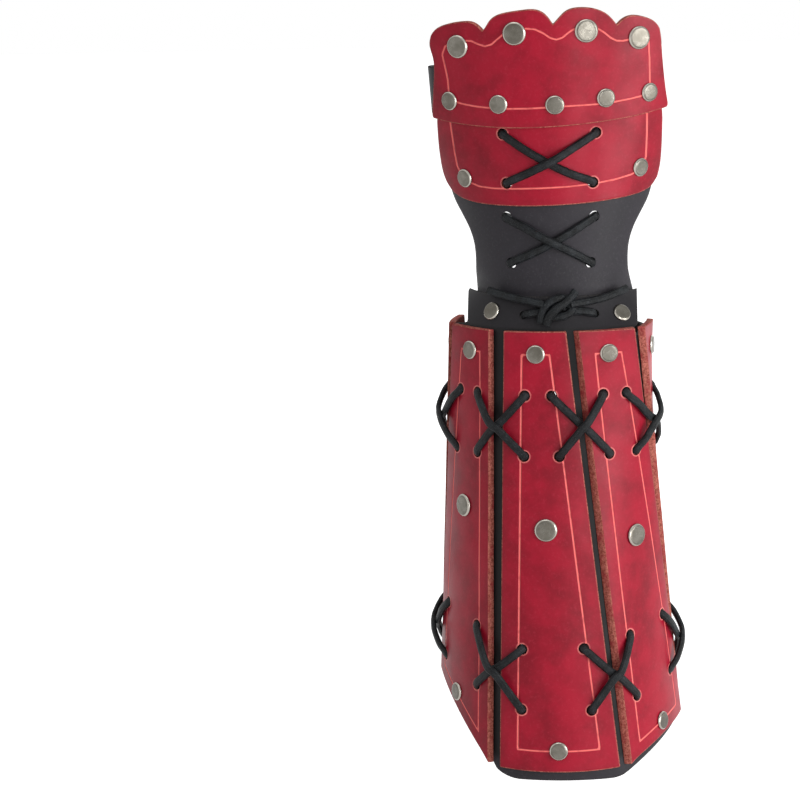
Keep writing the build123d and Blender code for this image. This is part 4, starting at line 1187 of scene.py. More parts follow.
class VAMBRACE_OT_backing(bpy.types.Operator):
    """Makes the black backing of the cuff, with the wrist band, the tongue and the two wings"""

    bl_idname = "vambrace.backing"
    bl_label = "Backing"

    def execute(self, context):
        self.middle()
        self.wing("left", range(LEFT_LAND, LEFT_HINGE + 1), LEFT_LAND)
        self.wing("right", range(RIGHT_HINGE, RIGHT_LAND + 1), RIGHT_LAND)
        return {"FINISHED"}

    def middle(self):
        """The front of the cuff, with the tongue below the splints and the band above them."""
        columns = grid_columns(range(LEFT_HINGE + 1, RIGHT_HINGE))
        rows = parts(BACKING_ROWS) + [1 + part for part in parts(BAND_ROWS)[1:]]
        feet = {}
        for column in columns:
            number, share = column
            feet[column] = settled(FIRST_FOOT, lambda height: tongue_foot(
                on(CUFF, number, share, height, BACKING_OUTER).x))
            if number <= SPLINTS["left_inner"]:
                under = number == SPLINTS["left_inner"]
                cover = splint_foot("left_inner", share if under else -1.0) + FOOT_COVER
                raised = min((1.0 - share) / COVER_FADE, 1.0) if under else 1.0
                feet[column] += max(cover - feet[column], 0.0) * raised

        def height_at(column, row):
            if row <= 1:
                return feet[column] + row * (SPLINT_TOP - feet[column])
            return SPLINT_TOP + (row - 1) * (BAND_TOP - SPLINT_TOP)

        def place(column, row):
            height = height_at(column, row)
            if row <= 1:
                return on(CUFF, *column, height, BACKING_OUTER)
            ends = (column, (columns[0][0], -1.0), (columns[-1][0], 1.0))
            x, left, right = (on(BAND, *one, height, BACKING_OUTER).x for one in ends)
            way = min((height - SPLINT_TOP) / BAND_STEP, 1.0)
            new_left, new_right = left + (BAND_LEFT - left) * way, right + (BAND_RIGHT - right) * way
            x = new_left + (x - left) * (new_right - new_left) / (right - left)
            return on(BAND, *find(BAND, x, height, BACKING_OUTER), height, BACKING_OUTER)

        def marks(column, row):
            height = height_at(column, row)
            edge = min(height - feet[column], BAND_TOP - height)
            if row > 1:
                from_middle = abs(columns.index(column) * 2 / (len(columns) - 1) - 1)
                # The band is drawn partway darker with the painted shade colour
                return (BAND_DARKER, min(edge, BAND_HALF_WIDTH * (1 - from_middle)))
            number, share = column
            cover = splint_foot(*BESIDE.get(number, (SPLINT_NAMES.get(number), share)))
            # Painted shade under the splint, ending a little above its foot and fading out over a short run
            unshaded = NO_PAINTED_SHADE * (1 - clamped((height - cover - FOOT_COVER) / SHADE_FADE_RUN))
            return (unshaded, min(edge, NO_EDGE))

        holes = [(seat, BACKING_HOLE / 2) for name in ("left_inner", "centre", "right_inner")
                 for seat in hole_seats(name)]
        holes += [(seat_at(BAND, *spot), BACKING_HOLE / 2) for spot in TIE_HOLES]
        piece = sheet_piece("cuff_backing", columns, rows, place, marks, BACKING, BLACK_FACES, holes)
        smooth(piece)
        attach(piece, "cuff")
        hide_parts("forearm_backing")

    def wing(self, side, numbers, land):
        """One wing of the cuff, between its hinge and the closing edge with the eyelets."""
        columns = grid_columns(numbers)
        front_hem, back_hem = HEMS[side]
        feet = {}
        for column in columns:
            feet[column] = settled(front_hem, lambda height: front_hem + (back_hem - front_hem) * clamped(
                (on(CUFF, *column, height, BACKING_OUTER).y - HEM_FRONT) / (HEM_BACK - HEM_FRONT)))

        def height_at(column, row):
            return feet[column] + row * (WING_TOP - feet[column])

        def place(column, row):
            return on(CUFF, *column, height_at(column, row), BACKING_OUTER)

        def marks(column, row):
            number, share = column
            height = height_at(column, row)
            from_back = NO_EDGE
            if number == land:
                from_back = (1 + (share if side == "left" else -share)) * cuff.stretches[land].length / 2
            # Painted shade under the outer splint, and none on the wing beyond it
            unshaded = NO_PAINTED_SHADE if number < SPLINTS["left_outer"] or number > SPLINTS["right_outer"] else FULL_PAINTED_SHADE
            return (unshaded, min(height - feet[column], WING_TOP - height, from_back))

        holes = [(seat, BACKING_HOLE / 2) for seat in hole_seats(f"{side}_outer")]
        holes += [(Seat(CUFF, land, 0.0, EYELET_LOW + (EYELET_HIGH - EYELET_LOW) * part, BACKING_OUTER),
                   EYELET_HOLE / 2) for part in parts(EYELETS - 1)]
        piece = sheet_piece(f"{side}_wing_leather", columns, parts(BACKING_ROWS), place, marks, BACKING,
                            BLACK_FACES, holes)
        smooth(piece)
        bend_with_wing(piece, side)
        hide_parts(f"{side}_wing_backing")


FLAP_HALF_WIDTHS = ((237.4, 41.0), (250.0, 41.0), (258.0, 40.4), (266.0, 39.9), (274.0, 40.1), (280.0, 41.2),
                    (286.0, 43.4), (292.0, 46.6), (299.0, 50.4), (306.0, 52.6), (316.0, 53.6), (345.0, 54.3),
                    (372.0, 50.0), (382.0, 48.0))


def eased(points, value):
    """A smooth line through points."""
    for index, ((start, low), (end, high)) in enumerate(zip(points, points[1:])):
        if value <= end or index == len(points) - 2:
            break
    share = clamped((value - start) / (end - start))
    before = points[index - 1] if index else points[0]
    after = points[index + 2] if index + 2 < len(points) else points[-1]
    leave = (high - before[1]) / (end - before[0]) * (end - start)
    arrive = (after[1] - low) / (after[0] - start) * (end - start)
    return ((2 * share**3 - 3 * share**2 + 1) * low + (share**3 - 2 * share**2 + share) * leave
            + (3 * share**2 - 2 * share**3) * high + (share**3 - share**2) * arrive)


def guard_seat(x, height):
    """The seat of the hand guard at x from its middle line."""
    return seat_at(GUARD, GUARD_MIDDLE + x, height)


def guard_seats(places):
    """Seats of the hand guard at places on both sides of its middle line."""
    return [guard_seat(side * x, height) for x, height in places for side in (-1, 1)]


class VAMBRACE_OT_hand_flap(bpy.types.Operator):
    """Makes the soft flap that runs from inside the wrist band to the knuckles"""

    bl_idname = "vambrace.hand_flap"
    bl_label = "Hand flap"

    def execute(self, context):
        columns, rows = FLAP_GRID

        def place(share, height):
            if height >= HINGE_HEIGHT:
                levels, out = GUARD, 0.0
            else:
                levels, out = (BAND if height <= BAND_TOP else COLLAR), TAB_OUTER
            drift = clamped((height - DRIFT_START) / FLAP_RUN)
            x = GUARD_MIDDLE * drift * drift * (3 - 2 * drift) + share * eased(FLAP_HALF_WIDTHS, height)
            point = on(levels, *find(levels, x, height, out), height, out)
            slack = clamped((height - SLACK_START) / FLAP_RUN) * clamped((SLACK_END - height) / FLAP_RUN)
            return point + FORWARDS * (waver(point, *FLAP_WAVER) * slack)

        def marks(share, height):
            wide = eased(FLAP_HALF_WIDTHS, height)
            return (NO_PAINTED_SHADE, min(wide * (1 - abs(share)), FLAP_TOP - height, height - FLAP_FOOT))

        holes = [(seat, BACKING_HOLE / 2) for seat in guard_seats(PLATE_HOLES)]
        holes += [(seat, LACE_HOLE / 2) for seat in guard_seats(FLAP_HOLES)]
        holes += [(seat_at(BAND, *spot), BACKING_HOLE / 2) for spot in TIE_HOLES]
        heights = [FLAP_FOOT + (FLAP_TOP - FLAP_FOOT) * part for part in parts(rows)]
        piece = sheet_piece("hand_flap", shares(columns), heights, place, marks, FLAP, BLACK_FACES, holes)
        smooth(piece)
        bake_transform(piece)
        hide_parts("hand_backing", "wrist_tab")
        return {"FINISHED"}


# Outlines and scored lines of the red plates in the front view, from the guard's middle line
HAND_SCORE = [(-51.9, 380.0), (-51.9, 349.0), (-51.3, 341.0), (-50.3, 333.0), (-49.3, 325.0), (-48.2, 318.5),
              (-45.9, 313.4), (-41.5, 310.2), (-36.5, 308.4), (-29.0, 307.8), (-18.0, 307.9), (-4.0, 308.3),
              (10.0, 308.9), (22.0, 309.9), (33.0, 311.4), (42.2, 313.4), (47.0, 316.4), (49.3, 321.5),
              (49.9, 333.6), (50.0, 343.0), (50.1, 380.0)]
KNUCKLE_SCORE = [
    (-46.6, 382.6), (-41.8, 383.8), (-38.8, 383.6), (-35.9, 382.2), (-32.0, 381.0), (-28.6, 381.9),
    (-25.8, 384.4), (-22.6, 387.0), (-16.9, 388.8), (-10.9, 389.8), (-6.5, 389.4), (-2.7, 387.6),
    (1.1, 385.0), (4.2, 384.0), (7.4, 384.9), (10.3, 387.3), (13.5, 389.3), (19.2, 390.1),
    (25.2, 389.0), (28.4, 387.0), (31.6, 384.2), (34.6, 382.6), (38.0, 382.4), (41.4, 383.0),
    (46.3, 383.8), (50.9, 382.1), (51.3, 373.3), (51.4, 363.0), (51.6, 355.6), (47.3, 353.9),
    (41.4, 352.8), (33.6, 351.7), (25.3, 350.9), (17.1, 350.6), (8.4, 350.3), (-1.8, 349.8),
    (-11.0, 349.4), (-21.2, 349.3), (-31.1, 349.7), (-37.5, 350.3), (-45.0, 351.5), (-51.2, 353.4),
    (-51.4, 357.8), (-51.8, 364.0), (-53.2, 371.0), (-54.4, 376.5), (-52.6, 381.0)]
KNUCKLE_CRESTS = (((-60.4, 386.0), (-58.8, 388.6), (-55.6, 390.9), (-50.6, 392.5), (-45.0, 393.4),
                   (-39.8, 393.6), (-36.2, 391.9), (-33.2, 388.8)),
                  ((-33.2, 388.8), (-31.6, 391.0), (-29.4, 394.6), (-25.8, 397.0), (-20.9, 398.1),
                   (-14.1, 399.0), (-8.0, 399.6), (-3.8, 398.7), (-0.4, 396.2), (2.6, 391.8)),
                  ((2.6, 391.8), (5.2, 394.6), (8.8, 398.3), (13.2, 399.9), (20.0, 399.9), (25.3, 398.8),
                   (29.4, 396.8), (32.4, 394.0), (35.0, 390.6)),
                  ((35.0, 390.6), (37.8, 393.4), (41.7, 395.1), (46.0, 395.0), (51.4, 393.3), (54.9, 391.0),
                   (56.8, 387.8)))
KNUCKLE_FOOT = ((-59.8, 342.9), (-51.9, 341.3), (-36.7, 339.9), (-21.9, 339.3), (-7.2, 339.4), (12.2, 340.4),
                (31.6, 342.2), (46.3, 344.0), (57.2, 346.2), (60.2, 347.0))
KNUCKLE_LEFT = ((-59.8, 342.9), (-60.9, 343.8), (-60.8, 347.0), (-60.0, 357.0), (-59.3, 365.0),
                (-59.1, 371.0), (-59.7, 375.0), (-61.0, 379.0), (-61.4, 382.4), (-60.4, 386.0))
KNUCKLE_RIGHT = ((60.2, 347.0), (61.2, 348.2), (60.2, 354.0), (59.3, 361.0), (58.5, 369.0), (57.9, 377.0),
                 (57.6, 382.8), (56.8, 387.8))
PLATE_FOOT = ((-54.4, 308.8), (-51.0, 303.6), (-44.6, 300.6), (-36.0, 299.2), (-22.0, 298.8), (-6.0, 298.9),
              (12.0, 299.6), (27.0, 300.6), (38.0, 301.7), (46.0, 303.0), (52.0, 305.2), (55.6, 310.6))
PLATE_LEFT = ((-54.4, 308.8), (-56.6, 314.0), (-58.0, 324.0), (-58.6, 334.0), (-58.8, 345.0), (-55.0, 366.0),
              (-50.0, 386.0))
PLATE_RIGHT = ((55.6, 310.6), (57.2, 317.0), (57.9, 326.0), (58.2, 336.0), (58.4, 345.0), (55.0, 366.0),
               (50.0, 386.0))


class VAMBRACE_OT_hand_plates(bpy.types.Operator):
    """Makes the red plates over the back of the hand and over the knuckles"""

    bl_idname = "vambrace.hand_plates"
    bl_label = "Hand plates"

    def execute(self, context):
        self.hand_plate()
        self.knuckle_plate()
        return {"FINISHED"}

    def plate(self, node, patch, columns, rows, out, score, hidden_from=float("inf"), holes=()):
        """One plate: its patch laid over the guard, with a scored line and its distance to the cut edge."""
        outline = patch.outline()

        def place(column, row):
            x, height = patch.at(column, row)
            x += GUARD_MIDDLE
            point = on(GUARD, *find(GUARD, x, height, out), height, out)
            return point + FORWARDS * waver(point, *PLATE_WAVER)

        def marks(column, row):
            x, height = patch.at(column, row)
            edge = 0.0 if column in (0.0, 1.0) or row in (0.0, 1.0) else abs(side_of(outline, x, height))
            return (side_of(score, x, height), NO_EDGE if height > hidden_from else edge)

        piece = sheet_piece(f"dressed_{node}", columns, rows, place, marks, GUARD_STOCK, RED_FACES, holes)
        smooth(piece)
        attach(piece, "hand_guard")
        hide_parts(node)

    def hand_plate(self):
        """The plate over the back of the hand, whose top end the knuckle plate hides."""
        columns, rows = PLATE_GRID
        patch = Patch(softened(PLATE_FOOT), [PLATE_LEFT[-1], PLATE_RIGHT[-1]], softened(PLATE_LEFT),
                      softened(PLATE_RIGHT))
        holes = [(seat, LACE_HOLE / 2) for seat in guard_seats(PLATE_HOLES)]
        self.plate("hand_plate", patch, parts(columns), parts(rows), PLATE_OUTER, HAND_SCORE, PLATE_HIDDEN,
                   holes)

    def knuckle_plate(self):
        """The plate over the knuckles, with a column of its grid at each notch between two scallops."""
        crest = []
        for scallop in KNUCKLE_CRESTS:
            crest += softened(scallop)[1 if crest else 0:]
        patch = Patch(softened(KNUCKLE_FOOT), crest, softened(KNUCKLE_LEFT), softened(KNUCKLE_RIGHT))
        columns, rows = parts(KNUCKLE_GRID[0]), parts(KNUCKLE_GRID[1])
        notches = [scallop[0] for scallop in KNUCKLE_CRESTS[1:]]
        for share, point in patch.sides[1]:
            if point in notches:
                columns[min(range(len(columns)), key=lambda index: abs(columns[index] - share))] = share
        self.plate("knuckle_plate", patch, columns, rows, KNUCKLE_OUTER, KNUCKLE_SCORE)


class VAMBRACE_OT_palm_strap(bpy.types.Operator):
    """Makes the strap that loops round the palm"""

    bl_idname = "vambrace.palm_strap"
    bl_label = "Palm strap"

    def execute(self, context):
        low, high = STRAP_HEIGHTS
        foot, top = (self.path(height, -FLAP - LAYER_GAP) for height in STRAP_HEIGHTS)

        def place(column, row):
            return Vector((*foot[column], low)).lerp(Vector((*top[column], high)), row)

        def marks(column, row):
            return (NO_PAINTED_SHADE, min(row, 1 - row) * (high - low))

        piece = sheet_piece("palm_loop", range(len(foot)), parts(STRAP_ROWS), place, marks, STRAP,
                            BLACK_FACES)
        smooth(piece)
        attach(piece, "hand_guard")
        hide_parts("palm_strap")
        return {"FINISHED"}

    def path(self, height, out):
        """Plan points of the strap's outer side, from its right end round the palm to its left end."""
        halves = []
        for side in (1, -1):
            spots = []
            for part in parts(UNDER_PARTS):
                away = STRAP_START + (STRAP_LEAVES[side] - STRAP_START) * part
                seat = guard_seat(side * away, height)
                spots.append(Spot(seat.point.x, seat.point.y, atan2(seat.across.y, seat.across.x)))
            last = spots[-1]
            turn = pi - side * last.facing
            turns = [turn * part for part in parts(CURL_PARTS)[1:]]
            spots += [last.walk(STRAP_CURL * so_far, so_far, side) for so_far in turns]
            halves.append([spot.out(out) for spot in spots])
        right, left = halves
        palm = [tuple(Vector(right[-1]).lerp(Vector(left[-1]), part)) for part in parts(PALM_PARTS)[1:-1]]
        return right + palm + left[::-1]


class VAMBRACE_OT_seam_laces(bpy.types.Operator):
    """Laces the splints together over the four seams, in an upper and a lower row"""

    bl_idname = "vambrace.seam_laces"
    bl_label = "Seam laces"

    def execute(self, context):
        for pair, names in SEAM_PAIRS.items():
            self.lace(pair, "upper", names, UPPER_HOLES, (0.0, 0.0))
            self.lace(pair, "lower", names, LOWER_HOLES[pair], LOWER_TILTS[pair])
        return {"FINISHED"}

    def lace(self, pair, row, names, heights, tilts):
        """One lace over a seam, closer to the leather where it crosses a far and sharp one."""
        top, foot = heights
        far = pair.startswith("far")
        strands = [self.rests(names, SHARP_RESTS if far else FLAT_RESTS, start + tilts[0], end + tilts[1])
                   for start, end in ((top, foot), (foot, top))]
        holes = [edge_seat(name, side, HOLE_INSET, height + tilt) for height in heights
                 for name, side, tilt in zip(names, (1, -1), tilts)]
        piece = crossed(f"{pair}_{row}_lacing", holes, BACKING_INNER, SPLINT, strands[0], strands[1][::-1],
                        TOP_STRANDS[pair], FAR_HUMP if far else 0.0)
        if far:
            bend_with_wing(piece, pair.removeprefix("far_"))
        else:
            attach(piece, "cuff")
        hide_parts(f"lace_{pair}_{row}")

    def rests(self, names, places, start, end):
        """Seats under a strand on its way from the left hole to the right one, with their lifts."""
        seats = []
        for side, inset, lift in places:
            name, run = (names[0], HOLE_INSET - inset) if side == 1 else (names[1], HOLE_INSET + SEAM + inset)
            height = start + (end - start) * run / (2 * HOLE_INSET + SEAM)
            seats.append((edge_seat(name, side, inset, height), lift))
        return seats


class VAMBRACE_OT_guard_laces(bpy.types.Operator):
    """Makes the two crossed laces of the hand guard"""

    bl_idname = "vambrace.guard_laces"
    bl_label = "Guard laces"

    def execute(self, context):
        self.lace("hand_plate_lace", PLATE_HOLES, PLATE_OUTER, "rising", PLATE_BOWS)
        self.lace("hand_flap_lace", FLAP_HOLES, 0.0, "falling", FLAP_BOWS)
        return {"FINISHED"}

    def lace(self, name, places, outer, top, bows):
        """One crossed lace, whose falling and rising strands sag by the two bows."""
        ends = [(GUARD_MIDDLE + side * x, height) for x, height in places for side in (-1, 1)]
        upper_left, upper_right, lower_left, lower_right = ends
        strands = []
        for start, end, bow in ((upper_left, lower_right, bows[0]), (upper_right, lower_left, bows[1])):
            strand = []
            for share, lift in GUARD_LIFTS:
                x, height = (a + (b - a) * share for a, b in zip(start, end))
                strand.append((seat_at(GUARD, x, height - bow * sin(pi * share)), lift))
            strands.append(strand)
        piece = crossed(f"{name}_cord", guard_seats(places), -FLAP, outer, *strands, top)
        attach(piece, "hand_guard")
        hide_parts(name)


# Routes on the band of the tie's run, its knot and its free ends: each point across, up and how far outside
TIE_LEFT_RUN = ((-1.0, 244.6, 1.7), (-8.0, 244.0, 1.75), (-13.8, 243.0, 1.7))
TIE_RIGHT_RUN = ((17.9, 243.2, 1.7), (11.0, 244.4, 2.0), (4.0, 245.0, 1.9))
KNOT_TURNS = {
    "knot_under": ((-7.4, 238.6, 2.2), (-6.9, 242.0, 3.2), (-4.6, 246.6, 4.4), (-0.8, 249.6, 4.6),
                   (3.4, 250.8, 3.8), (6.6, 249.4, 2.6)),
    "knot_over": ((-4.4, 237.4, 2.6), (-3.2, 241.0, 4.8), (0.2, 244.8, 6.4), (4.0, 247.8, 6.2),
                  (7.6, 251.2, 4.6), (9.8, 254.2, 3.0)),
    "knot_wrap": ((-3.4, 241.6, 2.0), (1.2, 241.4, 3.2), (6.0, 242.6, 3.6), (8.4, 245.4, 3.4),
                  (6.4, 247.6, 3.0)),
}
TIE_ENDS = {
    "left": ((-5.4, 247.6, 4.7), (-14.0, 249.2, 3.8), (-24.0, 250.8, 3.0), (-33.0, 252.6, 2.8)),
    "right": ((7.2, 247.4, 5.0), (16.0, 248.6, 3.8), (25.5, 249.8, 3.0), (35.0, 252.8, 2.8)),
}


class VAMBRACE_OT_wrist_tie(bpy.types.Operator):
    """Makes the lace that ties band and flap together, with its knot and free ends"""

    bl_idname = "vambrace.wrist_tie"
    bl_label = "Wrist tie"

    def execute(self, context):
        self.run(context.scene.vambrace_lace.thickness / 2 / MM)
        for name, places in KNOT_TURNS.items():
            piece = sweep_lace(name, [self.stop(*place) for place in places], closed=False)
            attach(piece, "cuff")
            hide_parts("wrist_tie_knot")
        for side, places in TIE_ENDS.items():
            self.free_end(side, places)
        return {"FINISHED"}

    def stop(self, x, height, lift):
        """A stop of a lace at a place of the band, this far outside it."""
        seat = seat_at(BAND, x, height)
        return seat.above(lift), seat.out.copy()

    def run(self, half):
        """The run of the tie, in at the left hole, along behind the tab and out at the right hole."""
        left, right = (seat_at(BAND, *spot) for spot in TIE_HOLES)
        deep = TAB_INNER - half - INSIDE_GAP
        stops = [self.stop(*place) for place in TIE_LEFT_RUN]
        stops += [(left.above(-TIE_SINK), -left.across),
                  (left.above(deep) + left.across * INSIDE_LEAVE, -left.out)]
        for share in BEHIND_SHARES:
            point = left.above(deep).lerp(right.above(deep), share)
            seat = seat_at(BAND, point.x, point.z)
            stops.append((seat.above(deep), -seat.out))
        stops += [(right.above(deep) - right.across * INSIDE_LEAVE, -right.out),
                  (right.above(-TIE_SINK), right.across.copy())]
        stops += [self.stop(*place) for place in TIE_RIGHT_RUN]
        piece = sweep_lace("tie_run", stops, closed=False)
        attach(piece, "cuff")
        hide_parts("wrist_tie")

    def free_end(self, side, places):
        """One free end of the tie, along the line of its route's spline."""
        curve = bpy.data.curves.new(f"tie_{side}_route", "CURVE")
        curve.dimensions = "3D"
        curve.resolution_u = 12
        spline = curve.splines.new("NURBS")
        spline.points.add(len(places) - 1)
        for point, (x, height, lift) in zip(spline.points, places):
            point.co = (*(seat_at(BAND, x, height).above(lift) * MM), 1.0)
        spline.order_u = 3
        spline.use_endpoint_u = True
        route = bpy.data.objects.new(f"tie_{side}_route", curve)
        bpy.context.scene.collection.objects.link(route)
        bpy.context.view_layer.update()
        line = bpy.data.meshes.new_from_object(route)
        points = [vertex.co.copy() for vertex in line.vertices]
        bpy.data.objects.remove(route)
        bpy.data.meshes.remove(line)
        path = []
        for point in points:
            seat = seat_at(BAND, point.x / MM, min(point.z / MM, BAND_TOP))
            path.append((point / MM, seat.out.copy()))
        piece = lace_mesh(f"tie_{side}_end", path, *TIE_END_HALVES, closed=False)
        length = sum((b - a).length for a, b in zip(points, points[1:]))
        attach(piece, "cuff")
        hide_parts(f"wrist_tie_{side}_end")
        tuple(points[0])
        [tuple(point) for point in points]


class VAMBRACE_OT_rivets(bpy.types.Operator):
    """Makes the flat rivet caps with their bevelled rims, and the burrs inside"""

    bl_idname = "vambrace.rivets"
    bl_label = "Rivets"

    def execute(self, context):
        rows = (("top", dict.fromkeys(SPLINTS, TOP_RIVET), SMALL_CAP), ("middle", MIDDLE_RIVETS, LARGE_CAP),
                ("bottom", BOTTOM_RIVETS, SMALL_CAP))
        rivets = {(row, name): (Seat(CUFF, number, 0.0, heights[name]), radius, SPLINT, BACKING_INNER)
                  for row, heights, radius in rows for name, number in SPLINTS.items()}
        for row, _, _ in rows:
            inner = [rivets[row, name] for name in ("left_inner", "centre", "right_inner")]
            self.studs(f"splint_{row}_rivets", "cuff", inner)
        for side in ("left", "right"):
            outer = [rivets[row, f"{side}_outer"] for row, _, _ in rows]
            self.studs(f"{side}_wing_rivets", f"{side}_wing", outer)
        self.studs("wrist_rivets", "cuff", [(seat_at(BAND, *spot), SMALL_CAP, BACKING_OUTER, TAB_INNER)
                                            for spot in BAND_RIVETS])
        for name, places, radius, outer in (("hand_plate_rivets", PLATE_RIVETS, SMALL_CAP, PLATE_OUTER),
                                            ("knuckle_top_rivets", TOP_ROW, LARGE_CAP, KNUCKLE_OUTER),
                                            ("knuckle_lower_rivets", LOWER_ROW, SMALL_CAP, KNUCKLE_OUTER)):
            studs = []
            for place in places:
                strapped = place in (LOWER_ROW[0], LOWER_ROW[-1])
                inner = -FLAP - (LAYER_GAP + STRAP if strapped else 0.0)
                studs.append((guard_seat(*place), radius, outer, inner))
            self.studs(name, "hand_guard", studs)
        return {"FINISHED"}

    def studs(self, node, body, places):
        """The rivets of one node, each from its seat, cap radius and the two leather faces that it holds."""
        work = bmesh.new()
        layer = work.loops.layers.uv.new("Disc")
        for seat, radius, outer, inner in places:
            face, back = outer + CAP_GAP, inner - BURR_GAP
            self.lathe(work, layer, seat, radius, [(radius * share, face + rise) for share, rise in CAP_CROWN]
                       + [(radius - step, face + rise) for step, rise in CAP_RIM] + [(SHANK, face)]
                       + [(reach, back - depth) for reach, depth in BURR])
        piece = written(work, f"capped_{node}", "pitted_nickel", METAL_CREASE)
        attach(piece, body)
        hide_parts(node)

    def lathe(self, work, layer, seat, radius, profile):
        """A profile of radii and rises turned about a seat's outward line."""
        rings = []
        for reach, rise in profile:
            centre = seat.above(rise) * MM
            if reach == 0.0:
                rings.append([work.verts.new(centre)] * CAP_SIDES)
                continue
            ways = (seat.across * cos(angle) + seat.up * sin(angle)
                    for angle in (2 * pi * step / CAP_SIDES for step in range(CAP_SIDES)))
            rings.append([work.verts.new(centre + way * reach * MM) for way in ways])
        discs = [reach / radius for reach, _ in profile]
        for first, second, near, far in zip(rings, rings[1:], discs, discs[1:]):
            for step in range(CAP_SIDES):
                after = (step + 1) % CAP_SIDES
                corners = {first[step]: near, second[step]: far, second[after]: far, first[after]: near}
                face = work.faces.new(tuple(corners))
                for loop, share in zip(face.loops, corners.values()):
                    loop[layer].uv = (share, step / CAP_SIDES)


class VAMBRACE_OT_metalwork(bpy.types.Operator):
    """Gives the eyelets their antiqued metal, and every other solid left in view its own finish"""

    bl_idname = "vambrace.metalwork"
    bl_label = "Metalwork"

    def execute(self, context):
        finishes = {"antique_nickel": "plain_nickel", "black_lace": "waxed_lace",
                    "red_leather": "dyed_red_leather", "black_leather": "grained_black_leather"}
        slots = {entry["node"]: entry["material_slot"] for entry in frame["record"]["subparts"]}
        for name, node in frame["nodes"].items():
            node.data.materials.clear()
            node.data.materials.append(finish_named(finishes[slots[name]]))
        return {"FINISHED"}


# The floor's size, the light of the world, the lamps with their places, sizes and powers, and the camera
FLOOR_SIZE = 14.0
WORLD_LIGHT = 0.26
LAMPS = (("key", (1.62, -0.98, 0.45), (1.0, 1.0), "key_power"),
         ("strip", (0.56, -1.5, 0.42), (0.2, 1.0), "strip_power"),
         ("fill", (-1.35, -1.05, 0.75), (1.4, 1.4), "fill_power"),
         ("back", (0.5, 1.5, 1.25), (1.2, 1.2), "back_power"),
         ("top", (-0.2, -0.1, 1.9), (1.2, 1.2), "back_power"))
LAMP_AIM = Vector((0, 0, 0.2))
CAMERA_ANGLES = (4.0, 10.8, -1.3)
CAMERA_AIM = Vector((-0.0835, 0.0, 0.1927))
CAMERA_DISTANCE = 1.5
SENSOR_WIDTH, LENS = 36.0, 126.9
CAMERA_REACH = 50.0


class VAMBRACE_OT_stage(bpy.types.Operator):
    """Makes the pale floor and surroundings, the lamps and the camera"""

    bl_idname = "vambrace.stage"
    bl_label = "Stage"

    def execute(self, context):
        settings = context.scene.vambrace_stage
        deselect()
        bpy.ops.mesh.primitive_plane_add(size=FLOOR_SIZE, location=(0, 0, 0))
        floor = context.object
        floor.name = "floor"
        for vertex in floor.data.vertices:
            vertex.co.z = -settings.floor_drop
        floor.data.materials.append(finish_named("pale_floor"))
        self.surroundings(context)
        for name, place, size, power in LAMPS:
            self.lamp(name, place, size, getattr(settings, power))
        self.camera(context)
        context.scene.view_settings.view_transform = "Standard"
        return {"FINISHED"}

    def surroundings(self, context):
        """A white world that gives less light than the camera sees in it."""
        world = bpy.data.worlds.new("studio")
        context.scene.world = world
        nodes = Nodes(world)
        background = nodes.tree.nodes["Background"].inputs
        nodes.put(background["Color"], WHITE)
        light = nodes.add("MapRange", {0: nodes.seen_share(), 3: WORLD_LIGHT, 4: 1.0})
        nodes.put(background["Strength"], light.outputs[0])

    def lamp(self, name, place, size, power):
        """One lamp, turned towards the middle of the vambrace."""
        lamp = bpy.data.lights.new(name, "AREA")
        lamp.shape = "RECTANGLE"
        lamp.size, lamp.size_y = size
        lamp.energy = power
        thing = bpy.data.objects.new(name, lamp)
        thing.location = place
        thing.rotation_euler = (LAMP_AIM - Vector(place)).to_track_quat("-Z", "Y").to_euler()
        bpy.context.scene.collection.objects.link(thing)

    def camera(self, context):
        """The camera of the photograph, a little to the right, above and tilted."""
        azimuth, elevation, roll = (radians(angle) for angle in CAMERA_ANGLES)
        back = Vector((sin(azimuth) * cos(elevation), -cos(azimuth) * cos(elevation), sin(elevation)))
        right = (-back).cross(Vector((0, 0, 1))).normalized()
        up = right.cross(-back)
        tilted_right = right * cos(roll) + up * sin(roll)
        tilted_up = up * cos(roll) - right * sin(roll)
        data = bpy.data.cameras.new("photograph")
        data.sensor_width = SENSOR_WIDTH
        data.lens = LENS
        data.clip_end = CAMERA_REACH
        camera = bpy.data.objects.new("photograph", data)
        basis = Matrix((tilted_right, tilted_up, back)).transposed().to_4x4()
        camera.matrix_world = Matrix.Translation(CAMERA_AIM + back * CAMERA_DISTANCE) @ basis
        context.scene.collection.objects.link(camera)
        context.scene.camera = camera


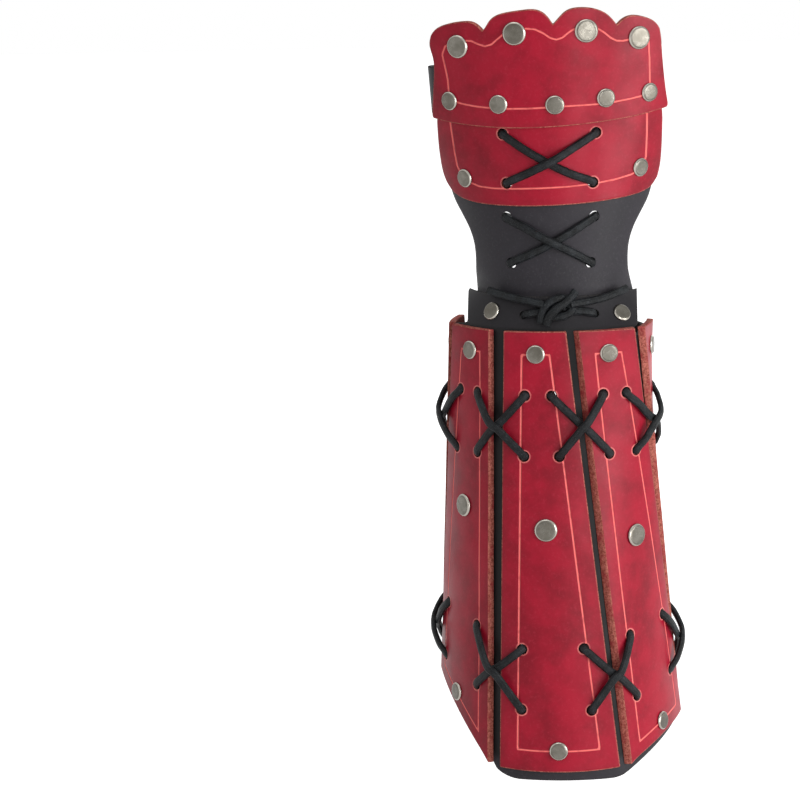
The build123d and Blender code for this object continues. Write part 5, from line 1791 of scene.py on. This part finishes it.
class VAMBRACE_PT_panel(bpy.types.Panel):
    """The vambrace's pieces and settings"""

    bl_idname = "VAMBRACE_PT_panel"
    bl_label = "Vambrace"
    bl_space_type = "VIEW_3D"
    bl_region_type = "UI"
    bl_category = "Vambrace"

    def draw(self, context):
        column = self.layout.column(align=True)
        for operator in OPERATORS:
            column.operator(operator.bl_idname)
        for group, settings in SETTINGS:
            box = self.layout.box()
            for name in settings.__annotations__:
                box.prop(getattr(context.scene, group), name)


OPERATORS = (VAMBRACE_OT_stage, VAMBRACE_OT_wrist_tie, VAMBRACE_OT_splints, VAMBRACE_OT_backing,
             VAMBRACE_OT_hand_flap, VAMBRACE_OT_hand_plates, VAMBRACE_OT_palm_strap, VAMBRACE_OT_seam_laces,
             VAMBRACE_OT_guard_laces, VAMBRACE_OT_rivets, VAMBRACE_OT_metalwork)
SETTINGS = (("vambrace_leather", VambraceLeather), ("vambrace_lace", VambraceLace),
            ("vambrace_metal", VambraceMetal), ("vambrace_stage", VambraceStage))


def register():
    """Adds the settings, the operators and the panel."""
    for group, settings in SETTINGS:
        bpy.utils.register_class(settings)
        setattr(bpy.types.Scene, group, bpy.props.PointerProperty(type=settings))
    for thing in (*OPERATORS, VAMBRACE_PT_panel):
        bpy.utils.register_class(thing)


def unregister():
    """Takes them away again, last first."""
    for thing in (VAMBRACE_PT_panel, *OPERATORS[::-1]):
        bpy.utils.unregister_class(thing)
    for group, settings in SETTINGS[::-1]:
        delattr(bpy.types.Scene, group)
        bpy.utils.unregister_class(settings)


def main():
    """Makes the whole scene, piece by piece."""
    register()
    bpy.ops.vambrace.stage()
    bpy.ops.vambrace.wrist_tie()
    bpy.ops.vambrace.splints()
    bpy.ops.vambrace.backing()
    bpy.ops.vambrace.hand_flap()
    bpy.ops.vambrace.hand_plates()
    bpy.ops.vambrace.palm_strap()
    bpy.ops.vambrace.seam_laces()
    bpy.ops.vambrace.guard_laces()
    bpy.ops.vambrace.rivets()
    bpy.ops.vambrace.metalwork()


if __name__ == "__main__":
    main()
